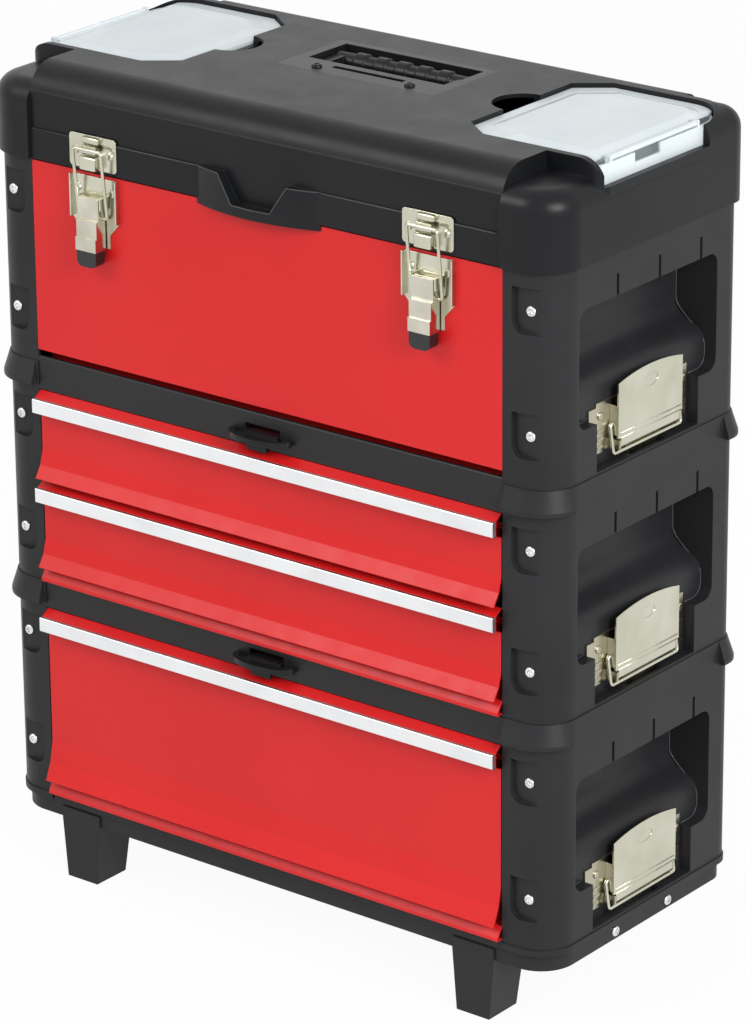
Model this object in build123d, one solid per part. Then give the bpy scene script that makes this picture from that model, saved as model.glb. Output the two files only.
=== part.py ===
from build123d import *
import os
from math import cos, radians, sin

# Rolling stackable tool box: trolley base, deep-drawer box, two-drawer box, open box and lid.
# Millimetres. X runs to the right along the front, Y to the back, Z up from the floor.

# Whole box
body_width = 510.0
body_depth = 225.0
module_height = 174.0
corner_radius = 28.0
rear_corner_radius = 15.0
sheet = 1.2
face_gap = 0.4
panel_gap = 0.2

# Trolley base
foot_height = 48.0
foot_width_top = 37.0
foot_width_bottom = 29.0
foot_depth_top = 38.0
foot_depth_bottom = 33.0
foot_inset = 69.0
foot_setback = 1.0
foot_socket_depth = 9.0
tray_height = 13.0
tray_inset = 2.5
tray_top_thickness = 3.0
tray_wall = 3.0
tray_rib = 2.5
tray_rib_pitch = 64.0
tray_rivet_setback = 30.0
tray_rivet_spacing = 65.0
tray_rivet_count = 2

# Side panels
panel_width = 42.5
panel_wall = 3.0
recess_wall = 2.5
recess_front_edge = 30.0
recess_width = 165.0
recess_top_margin = 31.5
recess_deep = 35.0
recess_shallow = 10.0
recess_ramp_low = 71.5
recess_ramp_high = 102.5
recess_corner = 9.0
latch_bay_front_edge = 51.5
latch_bay_width = 122.0
latch_bay_low = 20.0
latch_bay_high = 55.5
slot_width = 3.0
slot_depth = 2.0
slot_height = 16.0
slot_pitch = 50.0
slot_offset = 12.0
skirt_height = 18.0
skirt_proud = 1.0
cup_flare = 6.0
cup_lip = 3.0
cup_side_reach = 20.5
cup_front_reach = 40.0

# Screws in the corner posts
screw_edge = 21.0
screw_drop_top = 28.0
screw_drop_bottom = 118.0
screw_head_radius = 4.0
screw_head_height = 2.0
screw_cross_width = 1.3
dimple_half_width = 14.0
dimple_half_height = 16.5
dimple_depth = 4.0
dimple_round = 9.0

# Front rails and drawers
rail_thickness = 3.0
rail_drop = 3.5
rail_rise_middle = 22.5
rail_rise_bottom = 18.5
toe_setback = 14.5
sill_top = 30.0
sill_bottom = 19.5
sill_proud = 5.0
sill_depth = 6.0
drawer_top_drop = 4.0
drawer_pitch = 70.5
drawer_front_side_gap = 1.0
lip_proud = 7.0
lip_height = 4.5
pull_height = 11.0
pull_thickness = 3.0
pull_return = 3.0
flare_proud = 9.0
flare_height = 21.0
deep_flare_height = 31.0
drawer_gap = 1.5
drawer_end_margin = 29.0
drawer_side_gap = 10.5
drawer_floor_rise = 8.0
drawer_wall_drop = 8.0
runner_width = 6.5
runner_drop = 12.0
runner_gap = 0.4
channel_end_margin = 25.0

# Thumb catches
catch_width = 56.0
catch_reach = 14.0
catch_thickness = 4.0
catch_rise = 6.0
catch_stem_width = 30.0
catch_stand_off = 1.5
catch_dish_depth = 1.8
catch_pivot_setback = 9.0
catch_pin_radius = 1.5
catch_hook_width = 18.0
catch_hook_thickness = 2.5
catch_gap = 0.5

# Side latches
latch_offset = 4.5
latch_lever_width = 77.0
latch_lever_height = 81.5
latch_plate = 1.4
latch_face_inset = 1.0
knuckle_radius = 3.2
knuckle_height = 31.5
knuckle_width = 70.0
hinge_pin_radius = 1.6
running_gap = 0.08
bracket_plate = 1.2
bracket_half = 54.5
bracket_low = 28.0
bracket_high = 65.0
wing_half = 58.5
wing_low = 48.0
wing_high = 62.0
bracket_rib = 9.0
bracket_rib_pitch = 6.0
bracket_rib_proud = 0.7
bracket_ear_gap = 0.3
rivet_radius = 3.0
rivet_height = 1.4
lever_arch = 4.5
lever_dimple_drop = 12.0
lever_dimple_half = 9.0
lever_dimple_depth = 0.6
ear_thickness = 1.5
bail_wire_radius = 1.4
bail_pivot_height = 46.5
bail_pivot_depth = 3.6
bail_bar_height = 25.5
bail_side_gap = 0.8
bail_pin_gap = 0.6
bail_bend = 2.2
strike_width = 40.0
strike_plate = 1.5
strike_foot = 18.0
strike_height = 27.6
strike_gap = 0.4

# Front draw latches
draw_latch_inset = 104.0
draw_latch_width = 44.0
draw_flange = 3.3
draw_base_top = 3.0
draw_base_height = 52.0
draw_base_taper = 20.0
draw_base_foot_width = 26.0
draw_pivot_drop = 17.0
draw_pivot_proud = 6.0
draw_lever_width = 19.0
draw_tip_length = 12.0
draw_step_pitch = 13.0
draw_step_proud = (9.5, 12.0, 13.5)
draw_metal_length = 36.0
draw_knuckle_radius = 3.2
draw_corner_relief = 1.4
draw_tongue = 8.0
draw_bend = 2.5
keeper_rivet_reach = 16.0
draw_tip_width = 18.0
draw_bail_drop = 12.0
draw_bail_inset = 2.0
draw_wire_radius = 1.3
keeper_height = 25.0
keeper_rise = 3.0
keeper_hook_rise = 16.0
keeper_hook_reach = 5.0

# Lid
lid_end_height = 57.0
lid_height = 70.0
lid_overhang = 3.0
lid_front_overhang = 0.5
lid_rear_height = 69.0
lid_crown_round = 24.0
lid_rear_overhang = 4.5
lid_wall = 3.0
lid_end_round = 16.0
lid_rear_round = 12.0
lid_end_width = 46.0
lid_end_proud = 3.5
lid_band_height = 23.5
lid_band_proud = 1.0
thumb_width = 112.0
thumb_proud = 10.0
thumb_drop = 4.5
scoop_rise = 7.0
scoop_bottom_width = 34.0
scoop_top_width = 62.0
hinge_radius = 3.0
hinge_bore = 1.5
hinge_setback = 3.5
hinge_leaf = 18.0
hinge_leaf_thickness = 1.2
hinge_knuckle = 40.0

# Small-parts organizers in the lid
organizer_front = 56.0
organizer_back = 97.0
organizer_corner = 28.0
organizer_front_corner = 6.0
organizer_edge = 3.0
organizer_span = 121.0
organizer_side_front = 56.0
organizer_side_back = 66.0
organizer_notch_half = 15.0
organizer_notch_depth = 7.0
rim_end_round = 20.0
divider_drop = 3.0
scallop_radius = 22.0
scallop_height = 12.0
organizer_chamfer_x = 24.0
organizer_chamfer_y = 18.0
organizer_floor = 44.0
organizer_wall = 1.8
organizer_height = 20.0
organizer_gap = 0.8
organizer_rim_width = 5.5
organizer_sill = 50.0
cover_thickness = 2.4
cover_barrel_radius = 2.0
cover_pin_radius = 1.2
cover_hinge_front = 44.0
cover_hinge_back = 62.0
cover_ear = 2.5
cover_ear_reach = 2.2
cover_ear_gap = 0.3
cover_facet_low = 9.0
cover_facet_high = 16.0
cover_facet_rise = 2.0
cover_facet_corner = 3.0
cover_corner_relief = 7.0

# Carry handle
frame_width = 143.0
frame_depth = 77.0
frame_centre_y = 35.0
frame_flange = 2.0
frame_well_depth = 26.0
frame_wall = 2.5
frame_front_land = 26.0
frame_side_land = 9.0
grip_radius = 8.0
grip_bumps = 5
handle_arm = 9.0
handle_side_gap = 2.0
handle_pin_radius = 2.5

# Wheels and telescopic handle
wheel_radius = 50.0
wheel_width = 26.0
wheel_inset = 87.0
wheel_spokes = 6
wheel_hole_place = 25.0
wheel_hole_radius = 6.0
wheel_hub_radius = 13.0
wheel_web = 8.0
wheel_rim_wall = 4.0
tyre_shoulder = 5.0
tyre_thickness = 9.0
wheel_bore = 5.0
axle_setback = 56.0
axle_cap = 6.0
axle_cap_radius = 9.0
axle_boss_radius = 9.0
axle_cap_gap = 0.5
axle_cap_overlap = 1.0
bracket_drop = 8.0
shelf_margin = 16.0
shelf_reach = 36.0
bracket_arm = 4.0
handle_spacing = 200.0
outer_tube_width = 24.0
outer_tube_depth = 15.0
outer_tube_wall = 1.3
outer_tube_top = 470.0
tube_gap = 0.2
tube_setback = 14.5
tie_height = 14.0
tie_margin = 18.0
tube_round = 4.0
inner_tube_wall = 1.2
grip_height = 22.0
grip_top = 552.0
grip_front = 6.0
grip_rear = 12.0
grip_end = 15.0
grip_round = 5.0

# Tote tray inside the open box
tote_gap = 5.0
tote_wall = 2.0
tote_depth = 62.0
tote_top_drop = 6.0
tote_handle_height = 8.0
tote_ledge = 6.0

# Derived places
half_width = body_width / 2
front_y = -body_depth / 2
back_y = body_depth / 2
drawer_length = body_depth - drawer_end_margin
channel_length = body_depth - channel_end_margin
panel_inner_x = half_width - panel_width
bottom_seam = foot_height
middle_seam = bottom_seam + module_height
top_seam = middle_seam + module_height
lid_seam = top_seam + module_height
tray_top = foot_height + tray_height
case_half = panel_inner_x - panel_gap
case_inner = case_half - sheet
recess_floor_x = half_width - recess_deep
latch_floor_x = half_width - recess_shallow
recess_y0 = front_y + recess_front_edge
recess_y1 = recess_y0 + recess_width
latch_y0 = front_y + latch_bay_front_edge
latch_y1 = latch_y0 + latch_bay_width
latch_bay_centre = (latch_y0 + latch_y1) / 2
latch_y = latch_bay_centre + latch_offset
front_reach = front_y - catch_stand_off - catch_reach
rear_reach = back_y + axle_setback + wheel_radius
foot_spacing = body_width - 2 * foot_inset
draw_latch_x = half_width - draw_latch_inset
organizer_outer = half_width - organizer_edge
organizer_inner = organizer_outer - organizer_span
wheel_outer = half_width - wheel_inset
frame_shift = -(front_reach + rear_reach) / 2


def block(x_span, y_span, z_span):
    """A box between three pairs of limits."""
    spans = (x_span, y_span, z_span)
    size = [abs(high - low) for low, high in spans]
    middle = [(high + low) / 2 for low, high in spans]
    return Pos(*middle) * Box(*size)


def bar_between(start, end, radius):
    """A round bar from one point to another."""
    run = Vector(*end) - Vector(*start)
    return extrude(Plane(origin=start, z_dir=run) * Circle(radius), run.length)


def side_profile(points, x0, x1):
    """A closed outline in Y and Z, extruded from x0 to x1."""
    face = make_face(Polyline(*points, close=True))
    return extrude(Plane(origin=(x0, 0, 0), x_dir=(0, 1, 0), z_dir=(1, 0, 0)) * face, x1 - x0)


def front_profile(points, y0, y1):
    """A closed outline in X and Z, extruded from y0 back to y1."""
    face = make_face(Polyline(*points, close=True))
    return extrude(Plane(origin=(0, y1, 0), x_dir=(1, 0, 0), z_dir=(0, -1, 0)) * face, y1 - y0)


def flip(shape):
    """The left-hand twin of a right-hand piece."""
    return mirror(shape, about=Plane.YZ)


def both(shape):
    """A right-hand piece and its left-hand twin as separate solids."""
    return Compound(list(shape.solids()) + list(flip(shape).solids()))


def group(*shapes):
    """Separate solids kept in one node."""
    return Compound([solid for shape in shapes for solid in shape.solids()])


def rounded_outer(plan, front_round, back_round):
    """A plan with its outer front and outer back corners rounded."""
    front_corner = plan.vertices().group_by(Axis.X)[-1].sort_by(Axis.Y)[0]
    plan = fillet(front_corner, front_round)
    back_corner = plan.vertices().group_by(Axis.X)[-1].sort_by(Axis.Y)[-1]
    return fillet(back_corner, back_round)


def rounded_plan(half_x, y_span, front_round, back_round):
    """A plan across the whole width with its front and back corners rounded."""
    low, high = y_span
    plan = Pos(0, (low + high) / 2) * Rectangle(2 * half_x, high - low)
    plan = fillet(plan.vertices().group_by(Axis.Y)[0], front_round)
    return fillet(plan.vertices().group_by(Axis.Y)[-1], back_round)


def bent_wire(points, bend, radius):
    """A round wire along a path with rounded bends."""
    path = FilletPolyline(*points, radius=bend)
    run = Vector(*points[1]) - Vector(*points[0])
    return sweep(Plane(origin=points[0], z_dir=run) * Circle(radius), path=path)


def panel_plan(grow):
    """Plan of the right side panel: flat inside, wide round in front, tighter round behind."""
    outer_x = half_width + grow
    plan = Pos((panel_inner_x + outer_x) / 2, 0) * Rectangle(outer_x - panel_inner_x, body_depth + 2 * grow)
    return rounded_outer(plan, corner_radius + grow, rear_corner_radius + grow)


def recess_outline(seam, grow):
    """T-shaped hand and latch opening in the side panel, as a prism along X."""
    top = seam + module_height - recess_top_margin
    plane = Plane(origin=(panel_inner_x, 0, 0), x_dir=(0, 1, 0), z_dir=(1, 0, 0))
    hand_height = top - (seam + latch_bay_high)
    hand = Pos((recess_y0 + recess_y1) / 2, top - hand_height / 2) * Rectangle(
        recess_width + 2 * grow, hand_height + 2 * grow
    )
    hand = fillet(hand.vertices(), recess_corner)
    bay_height = latch_bay_high - latch_bay_low + 2 * recess_corner
    bay = Pos((latch_y0 + latch_y1) / 2, seam + latch_bay_low + bay_height / 2) * Rectangle(
        latch_bay_width + 2 * grow, bay_height + 2 * grow
    )
    return extrude(plane * (hand + bay), panel_width + cup_flare)


def recess_depth_profile(seam, wall):
    """Floor of the recess seen from the front: deep grip, ramp, then the shallow latch bay."""
    top = seam + module_height
    deep_x = recess_floor_x - wall
    shallow_x = latch_floor_x - wall
    ramp_top = (deep_x, seam + recess_ramp_high)
    ramp_foot = (shallow_x, seam + recess_ramp_low)
    ramp = Spline(ramp_top, ramp_foot, tangents=[(0, -1), (0, -1)])
    rest = Polyline(
        ramp_foot,
        (shallow_x, seam - wall),
        (half_width + cup_flare, seam - wall),
        (half_width + cup_flare, top),
        (deep_x, top),
        ramp_top,
    )
    floor = make_face([ramp, rest])
    plane = Plane(origin=(0, back_y, 0), x_dir=(1, 0, 0), z_dir=(0, -1, 0))
    return extrude(plane * floor, body_depth)


def post_dimple(z, front):
    """Screw recess on a corner post: flat floor, round lower corner, open to the rounded edge."""
    centre_x = half_width - screw_edge
    inner_x = centre_x - dimple_half_width
    outer_x = half_width + 1
    face = Pos((inner_x + outer_x) / 2, z) * Rectangle(outer_x - inner_x, 2 * dimple_half_height)
    low_corner = face.vertices().group_by(Axis.X)[0].sort_by(Axis.Y)[0]
    face = fillet(low_corner, dimple_round)
    y0 = front_y - cup_flare if front else back_y - dimple_depth
    y1 = front_y + dimple_depth if front else back_y + cup_flare
    return extrude(Plane(origin=(0, y1, 0), x_dir=(1, 0, 0), z_dir=(0, -1, 0)) * face, y1 - y0)


def screw_places(seam):
    """Centres of the post screws: height and whether on the front."""
    top = seam + module_height
    return [(top - drop, front) for drop in (screw_drop_top, screw_drop_bottom) for front in (True, False)]


def corner_cups(seam):
    """Flared cups that locate the module on the corners of the one below."""
    foot = extrude(Plane.XY.offset(seam) * panel_plan(cup_flare), cup_lip)
    slope = loft(
        [
            Plane.XY.offset(seam + cup_lip) * panel_plan(cup_flare),
            Plane.XY.offset(seam + skirt_height) * panel_plan(skirt_proud),
        ]
    )
    cup = foot + slope
    front_zone = block(
        (half_width - cup_front_reach, half_width + 2 * cup_flare),
        (front_y - 2 * cup_flare, front_y + cup_side_reach),
        (seam, seam + skirt_height),
    )
    return (cup & front_zone) + (cup & mirror(front_zone, about=Plane.XZ))


def strike_slot(seam, low):
    """Slot that lets the strike of the module below stand inside the latch bay."""
    centre_y = latch_y
    reach = strike_width / 2 + 1.5
    inner_x = latch_floor_x - 1.0
    outer_x = half_width - panel_wall
    y_span = (centre_y - reach, centre_y + reach)
    return block((inner_x, outer_x), y_span, (low - 1, seam + latch_bay_low + 1))


def strike_pocket(z):
    """Shallow pocket for the foot of the strike in the top of a panel."""
    reach = strike_width / 2
    inner_x = latch_floor_x + strike_plate - strike_foot
    return block(
        (inner_x, latch_floor_x + strike_plate),
        (latch_y - reach, latch_y + reach),
        (z - strike_plate, z),
    )


def side_panel(seam, low, cups, carries):
    """Right side panel moulding: hollow from the inside, with the stepped latch recess."""
    top = seam + module_height
    body = extrude(Plane.XY.offset(low) * panel_plan(0), top - low)
    skirt = extrude(Plane.XY.offset(low) * panel_plan(skirt_proud), seam + skirt_height - low)
    body = body + skirt
    if cups:
        body = body + corner_cups(seam)
    hollow_plan = rounded_outer(
        Pos((panel_inner_x + half_width - panel_wall) / 2, 0)
        * Rectangle(panel_width - panel_wall, body_depth - 2 * panel_wall),
        corner_radius - panel_wall,
        rear_corner_radius - panel_wall,
    )
    hollow = extrude(Plane.XY.offset(low + panel_wall) * hollow_plan, top - low - 2 * panel_wall)
    housing = recess_outline(seam, recess_wall) & recess_depth_profile(seam, recess_wall)
    dimples = [post_dimple(z, front) for z, front in screw_places(seam)]
    for z, front in screw_places(seam):
        centre_y = front_y if front else back_y
        pad = block(
            (half_width - screw_edge - dimple_half_width - panel_wall, half_width),
            (centre_y - dimple_depth - panel_wall, centre_y + dimple_depth + panel_wall),
            (z - dimple_half_height - panel_wall, z + dimple_half_height + panel_wall),
        )
        hollow = hollow - pad
    guide = block(
        (latch_floor_x - 1.0 - panel_wall, half_width),
        (latch_y - strike_width / 2 - 4.5, latch_y + strike_width / 2 + 4.5),
        (low, seam + latch_bay_low),
    )
    hollow = hollow - housing - guide
    body = body - hollow
    body = body - (recess_outline(seam, 0) & recess_depth_profile(seam, 0))
    for dimple in dimples:
        body = body - dimple
    body = body - strike_slot(seam, low)
    if carries:
        body = body - strike_pocket(top)
    for index in (-1, 0, 1):
        centre_y = slot_offset + index * slot_pitch
        groove_low = top - recess_top_margin
        body = body - block(
            (half_width - slot_depth, half_width + 1),
            (centre_y - slot_width / 2, centre_y + slot_width / 2),
            (groove_low - 1, groove_low + slot_height),
        )
    return body


def screw_head(point, direction):
    """Domed screw head standing on a face."""
    plane = Plane(origin=point, z_dir=direction)
    head = extrude(plane * Circle(screw_head_radius), screw_head_height)
    crown = head.faces().sort_by(Axis(point, direction))[-1]
    head = fillet(crown.edges(), screw_head_height * 0.8)
    bar_length = screw_head_radius * 1.1
    cross = Rectangle(bar_length, screw_cross_width) + Rectangle(screw_cross_width, bar_length)
    top_plane = plane.offset(screw_head_height * 0.45)
    return head - extrude(top_plane * cross, screw_head_height)


def module_screws(seam):
    """Post screws of one module, front and back, both sides, and one in each hand recess."""
    heads = []
    for z, front in screw_places(seam):
        y = front_y + dimple_depth if front else back_y - dimple_depth
        direction = (0, -1, 0) if front else (0, 1, 0)
        heads.append(screw_head((half_width - screw_edge, y, z), direction))
    grip_z = seam + module_height - recess_top_margin - 10
    heads.append(screw_head((recess_floor_x, slot_offset, grip_z), (1, 0, 0)))
    return both(group(*heads))


def strikes(z_foot, seam):
    """Upright strikes that the latch bails of the module above hook under."""
    reach = strike_width / 2
    y_span = (latch_y - reach, latch_y + reach)
    outer_x = latch_floor_x + strike_plate
    foot = block((outer_x - strike_foot, outer_x), y_span, (z_foot - strike_plate, z_foot))
    upright = block((latch_floor_x, outer_x), (y_span[0] + 1, y_span[1] - 1), (z_foot, seam + strike_height))
    bar_x = latch_floor_x + bracket_plate + bail_wire_radius + bail_pivot_depth
    flange_x = bar_x - bail_wire_radius - strike_gap
    flange_z = (seam + strike_height - strike_plate, seam + strike_height)
    flange = block((outer_x, flange_x), (y_span[0] + 1, y_span[1] - 1), flange_z)
    return both(foot + upright + flange)


def front_rail(seam_top, rise):
    """Black rail across the front below the module above, with the catch window and bosses."""
    low = seam_top - rail_drop
    high = seam_top + rise
    half = panel_inner_x - panel_gap
    rail = block((-half, half), (front_y, front_y + rail_thickness), (low, high))
    rail = fillet(rail.edges().filter_by(Axis.X).group_by(Axis.Y)[0].sort_by(Axis.Z)[-1], 1.5)
    pivot_z = seam_top + catch_rise
    window = block(
        (-catch_stem_width / 2 - 1, catch_stem_width / 2 + 1),
        (front_y - 1, front_y + rail_thickness + 1),
        (pivot_z - catch_thickness, pivot_z + catch_thickness + 3),
    )
    rail = rail - window
    pivot_y = front_y + catch_pivot_setback
    for side in (-1, 1):
        x0 = side * (catch_stem_width / 2 + 1.2)
        x1 = side * (catch_stem_width / 2 + 5.2)
        ear = block(
            (min(x0, x1), max(x0, x1)),
            (front_y + rail_thickness, pivot_y + 2.5),
            (pivot_z - 3, pivot_z + 3),
        )
        rail = rail + ear
    hole_start = (-catch_stem_width, pivot_y, pivot_z)
    hole_end = (catch_stem_width, pivot_y, pivot_z)
    return rail - bar_between(hole_start, hole_end, catch_pin_radius + running_gap)


def thumb_catch(seam_top):
    """Half-oval thumb tab with its stem, pivot pin and the hook over the drawer lip."""
    z = seam_top + catch_rise
    tab_y = front_y - catch_stand_off
    oval = Plane.XY.offset(z - catch_thickness / 2) * (Pos(0, tab_y) * Ellipse(catch_width / 2, catch_reach))
    tab = extrude(oval, catch_thickness)
    tab = tab - block((-catch_width, catch_width), (tab_y, tab_y + 2 * catch_reach), (z - 10, z + 10))
    dish = extrude(
        Plane.XY.offset(z + catch_thickness / 2 - catch_dish_depth)
        * (Pos(0, tab_y) * Ellipse(catch_width / 2 - 5, catch_reach - 4)),
        catch_thickness,
    )
    tab = tab - dish
    pivot_y = front_y + catch_pivot_setback
    stem = block(
        (-catch_stem_width / 2, catch_stem_width / 2),
        (tab_y - 1, pivot_y),
        (z - catch_thickness / 2, z + catch_thickness / 2),
    )
    barrel = bar_between((-catch_stem_width / 2, pivot_y, z), (catch_stem_width / 2, pivot_y, z), 2.5)
    pin_reach = catch_stem_width / 2 + 5
    pin = bar_between((-pin_reach, pivot_y, z), (pin_reach, pivot_y, z), catch_pin_radius)
    hook = block(
        (-catch_hook_width / 2, catch_hook_width / 2),
        (front_y - lip_proud, front_y - lip_proud + catch_hook_thickness),
        (seam_top - drawer_top_drop + catch_gap, z),
    )
    return tab + stem + barrel + pin + hook


def sill(seam, low):
    """Folded red sill under the drawers, with the bent lip that shows below them."""
    y_in = front_y + toe_setback
    points = [
        (y_in, low + 1),
        (y_in, seam + sill_bottom),
        (front_y - sill_proud, seam + sill_bottom),
        (front_y - sill_proud, seam + sill_bottom + 2.5),
        (front_y, seam + sill_top),
        (y_in + sill_depth, seam + sill_top),
        (y_in + sill_depth, low + 1),
    ]
    outer = make_face(Polyline(*points, close=True))
    plane = Plane(origin=(-case_half, 0, 0), x_dir=(0, 1, 0), z_dir=(1, 0, 0))
    return extrude(plane * (outer - offset(outer, -sheet)), 2 * case_half)


def drawer_case(seam, low):
    """Red sheet-steel case, open at the front, that carries the drawer channels."""
    top = seam + module_height - 1
    y_front = front_y + rail_thickness + 1
    outer = block((-case_half, case_half), (y_front, back_y - 1), (low + 1, top))
    inner_rise = (low + 1 + sheet, top - sheet)
    inner = block((-case_inner, case_inner), (y_front - 1, back_y - 1 - sheet), inner_rise)
    toe = block((-half_width, half_width), (front_y - 1, front_y + toe_setback), (low, seam + sill_bottom))
    return (outer - inner - toe) + sill(seam, low)


def channel_heights(seam, drawers):
    """Runner heights of the drawers, from the top one down."""
    top = seam + module_height - drawer_top_drop
    return [top - index * drawer_pitch - runner_drop for index in range(drawers)]


def slide_channels(seam, drawers):
    """Zinc-plated channels on the case walls, open towards the drawers."""
    pieces = []
    for runner_z in channel_heights(seam, drawers):
        depth = runner_width + 2
        z0 = runner_z - runner_gap - sheet
        z1 = runner_z + sheet + runner_gap + sheet
        y0 = front_y + rail_thickness + 2
        outer = block((case_inner - depth, case_inner), (y0, y0 + channel_length), (z0, z1))
        inner = block(
            (case_inner - depth - 1, case_inner - sheet),
            (y0 - 1, y0 + channel_length + 1),
            (z0 + sheet, z1 - sheet),
        )
        pieces.append(outer - inner)
    return both(group(*pieces))


def drawer_front(lip_z, low_z, flare):
    """Folded drawer front: top lip, seat for the pull, flat face and kicked-out lower edge."""
    bend_z = low_z + flare
    seat_z = lip_z - lip_height
    back = sheet + 0.2
    outline = [
        (front_y, lip_z),
        (front_y - lip_proud, seat_z),
        (front_y - lip_proud, seat_z - pull_height),
        (front_y, seat_z - pull_height - pull_return),
        (front_y, bend_z),
        (front_y - flare_proud * 0.35, bend_z - flare * 0.55),
        (front_y - flare_proud, low_z),
    ]
    shifted = [(y + back, z) for y, z in reversed(outline)]
    half = panel_inner_x - drawer_front_side_gap
    return side_profile(outline + shifted, -half, half)


def drawer(lip_z, low_z, flare):
    """Drawer box with its folded front and side runners."""
    half = case_inner - drawer_side_gap
    y0 = front_y + 0.2
    floor_z = low_z + drawer_floor_rise
    wall_z = lip_z - drawer_wall_drop
    y_tray = front_y + rail_thickness + 3
    outer = block((-half, half), (y0, y_tray + drawer_length), (floor_z, wall_z))
    inner_y = (y0 + sheet, y_tray + drawer_length - sheet)
    inner = block((-half + sheet, half - sheet), inner_y, (floor_z + sheet, wall_z + 1))
    tray = outer - inner
    runner_z = lip_z - runner_drop
    runner_x = (half, half + drawer_side_gap - 2 * sheet)
    runner = block(runner_x, (y_tray, y_tray + drawer_length), (runner_z, runner_z + sheet))
    return tray + runner + flip(runner) + drawer_front(lip_z, low_z, flare)


def drawer_pull(lip_z):
    """Aluminium pull strip along the top of a drawer front, with a rolled lower edge."""
    half = panel_inner_x - drawer_front_side_gap
    y1 = front_y - lip_proud
    z1 = lip_z - lip_height
    strip = block((-half, half), (y1 - pull_thickness, y1), (z1 - pull_height, z1))
    return fillet(strip.edges().filter_by(Axis.X).group_by(Axis.Y)[0], 0.8)


def rivet_head(point, direction):
    """Low domed rivet head standing on a face."""
    head = extrude(Plane(origin=point, z_dir=direction) * Circle(rivet_radius), rivet_height)
    crown = head.faces().sort_by(Axis(point, direction))[-1]
    return fillet(crown.edges(), rivet_height * 0.8)


def latch_bracket(seam):
    """Riveted bracket in the latch bay: winged plate with ribs, two ears and the lever's hinge pin."""
    half = knuckle_width / 2
    x0 = latch_floor_x
    x1 = x0 + bracket_plate
    bracket = block(
        (x0, x1),
        (latch_y - bracket_half, latch_y + bracket_half),
        (seam + bracket_low, seam + bracket_high),
    )
    bracket = bracket + block((x0, x1), (latch_bay_centre - wing_half, latch_bay_centre + wing_half), (seam + wing_low, seam + wing_high))
    pivot_x = half_width - latch_face_inset - knuckle_radius
    pivot_z = seam + knuckle_height
    for side in (-1, 1):
        edge = latch_y + side * bracket_half
        rib_span = sorted((edge - side, edge - side * bracket_rib))
        for index in range(3):
            rib_z = seam + bracket_low + bracket_rib_pitch * (index + 0.5)
            rib_rise = (rib_z, rib_z + bracket_rib_pitch / 3)
            bracket = bracket + block((x1, x1 + bracket_rib_proud), rib_span, rib_rise)
        rivet_y = edge - side * bracket_rib / 2
        bracket = bracket + rivet_head((x1, rivet_y, seam + (wing_low + wing_high) / 2), (1, 0, 0))
        ear_y = latch_y + side * (half + bracket_ear_gap)
        ear_span = sorted((ear_y, ear_y + side * ear_thickness))
        ear_rise = (pivot_z - knuckle_radius, pivot_z + knuckle_radius)
        bracket = bracket + block((x0, pivot_x + knuckle_radius), ear_span, ear_rise)
    pin_reach = half + bracket_ear_gap + ear_thickness
    pin_start = (pivot_x, latch_y - pin_reach, pivot_z)
    pin_end = (pivot_x, latch_y + pin_reach, pivot_z)
    return bracket + bar_between(pin_start, pin_end, hinge_pin_radius)


def side_lever(seam):
    """Nickel lever plate with its knuckle, arched top edge, finger dimple and side flanges."""
    half = latch_lever_width / 2
    x1 = half_width - latch_face_inset
    pivot_x = x1 - knuckle_radius
    pivot_z = seam + knuckle_height
    crown = seam + latch_lever_height
    shoulder = crown - lever_arch
    left = latch_y - half
    right = latch_y + half
    plate_low = pivot_z + 5
    sides = Polyline((left, shoulder), (left, plate_low), (right, plate_low), (right, shoulder))
    top_edge = ThreePointArc((left, shoulder), (latch_y, crown), (right, shoulder))
    plane = Plane(origin=(x1 - latch_plate, 0, 0), x_dir=(0, 1, 0), z_dir=(1, 0, 0))
    plate = extrude(plane * make_face([sides, top_edge]), latch_plate)
    dimple_z = crown - lever_dimple_drop
    dimple = Pos(latch_y, dimple_z) * Ellipse(lever_dimple_half, lever_dimple_half / 2)
    plate = plate - extrude(plane.offset(latch_plate - lever_dimple_depth) * dimple, latch_plate)
    knuckle_span = (latch_y - knuckle_width / 2, latch_y + knuckle_width / 2)
    neck = block((x1 - latch_plate, x1), knuckle_span, (pivot_z, plate_low + 1))
    knuckle_start = (pivot_x, knuckle_span[0], pivot_z)
    knuckle = bar_between(knuckle_start, (pivot_x, knuckle_span[1], pivot_z), knuckle_radius)
    bail_x, bail_z = bail_pivot(seam)
    flange_x = bail_x - bail_wire_radius - 0.5
    lever = plate + neck + knuckle
    for side in (-1, 1):
        flange_y = sorted((latch_y + side * half, latch_y + side * (half - latch_plate)))
        lever = lever + block((flange_x, x1 - latch_plate), flange_y, (pivot_z + 7, bail_z + 14))
    bore = bar_between((pivot_x, left, pivot_z), (pivot_x, right, pivot_z), hinge_pin_radius + running_gap)
    hole_ends = ((bail_x, left - 1, bail_z), (bail_x, right + 1, bail_z))
    holes = bar_between(*hole_ends, bail_wire_radius + running_gap)
    return lever - bore - holes


def bail_pivot(seam):
    """Pivot of a side latch bail in its lever, as X and Z."""
    return latch_floor_x + bracket_plate + bail_wire_radius + bail_pin_gap, seam + bail_pivot_height


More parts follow.
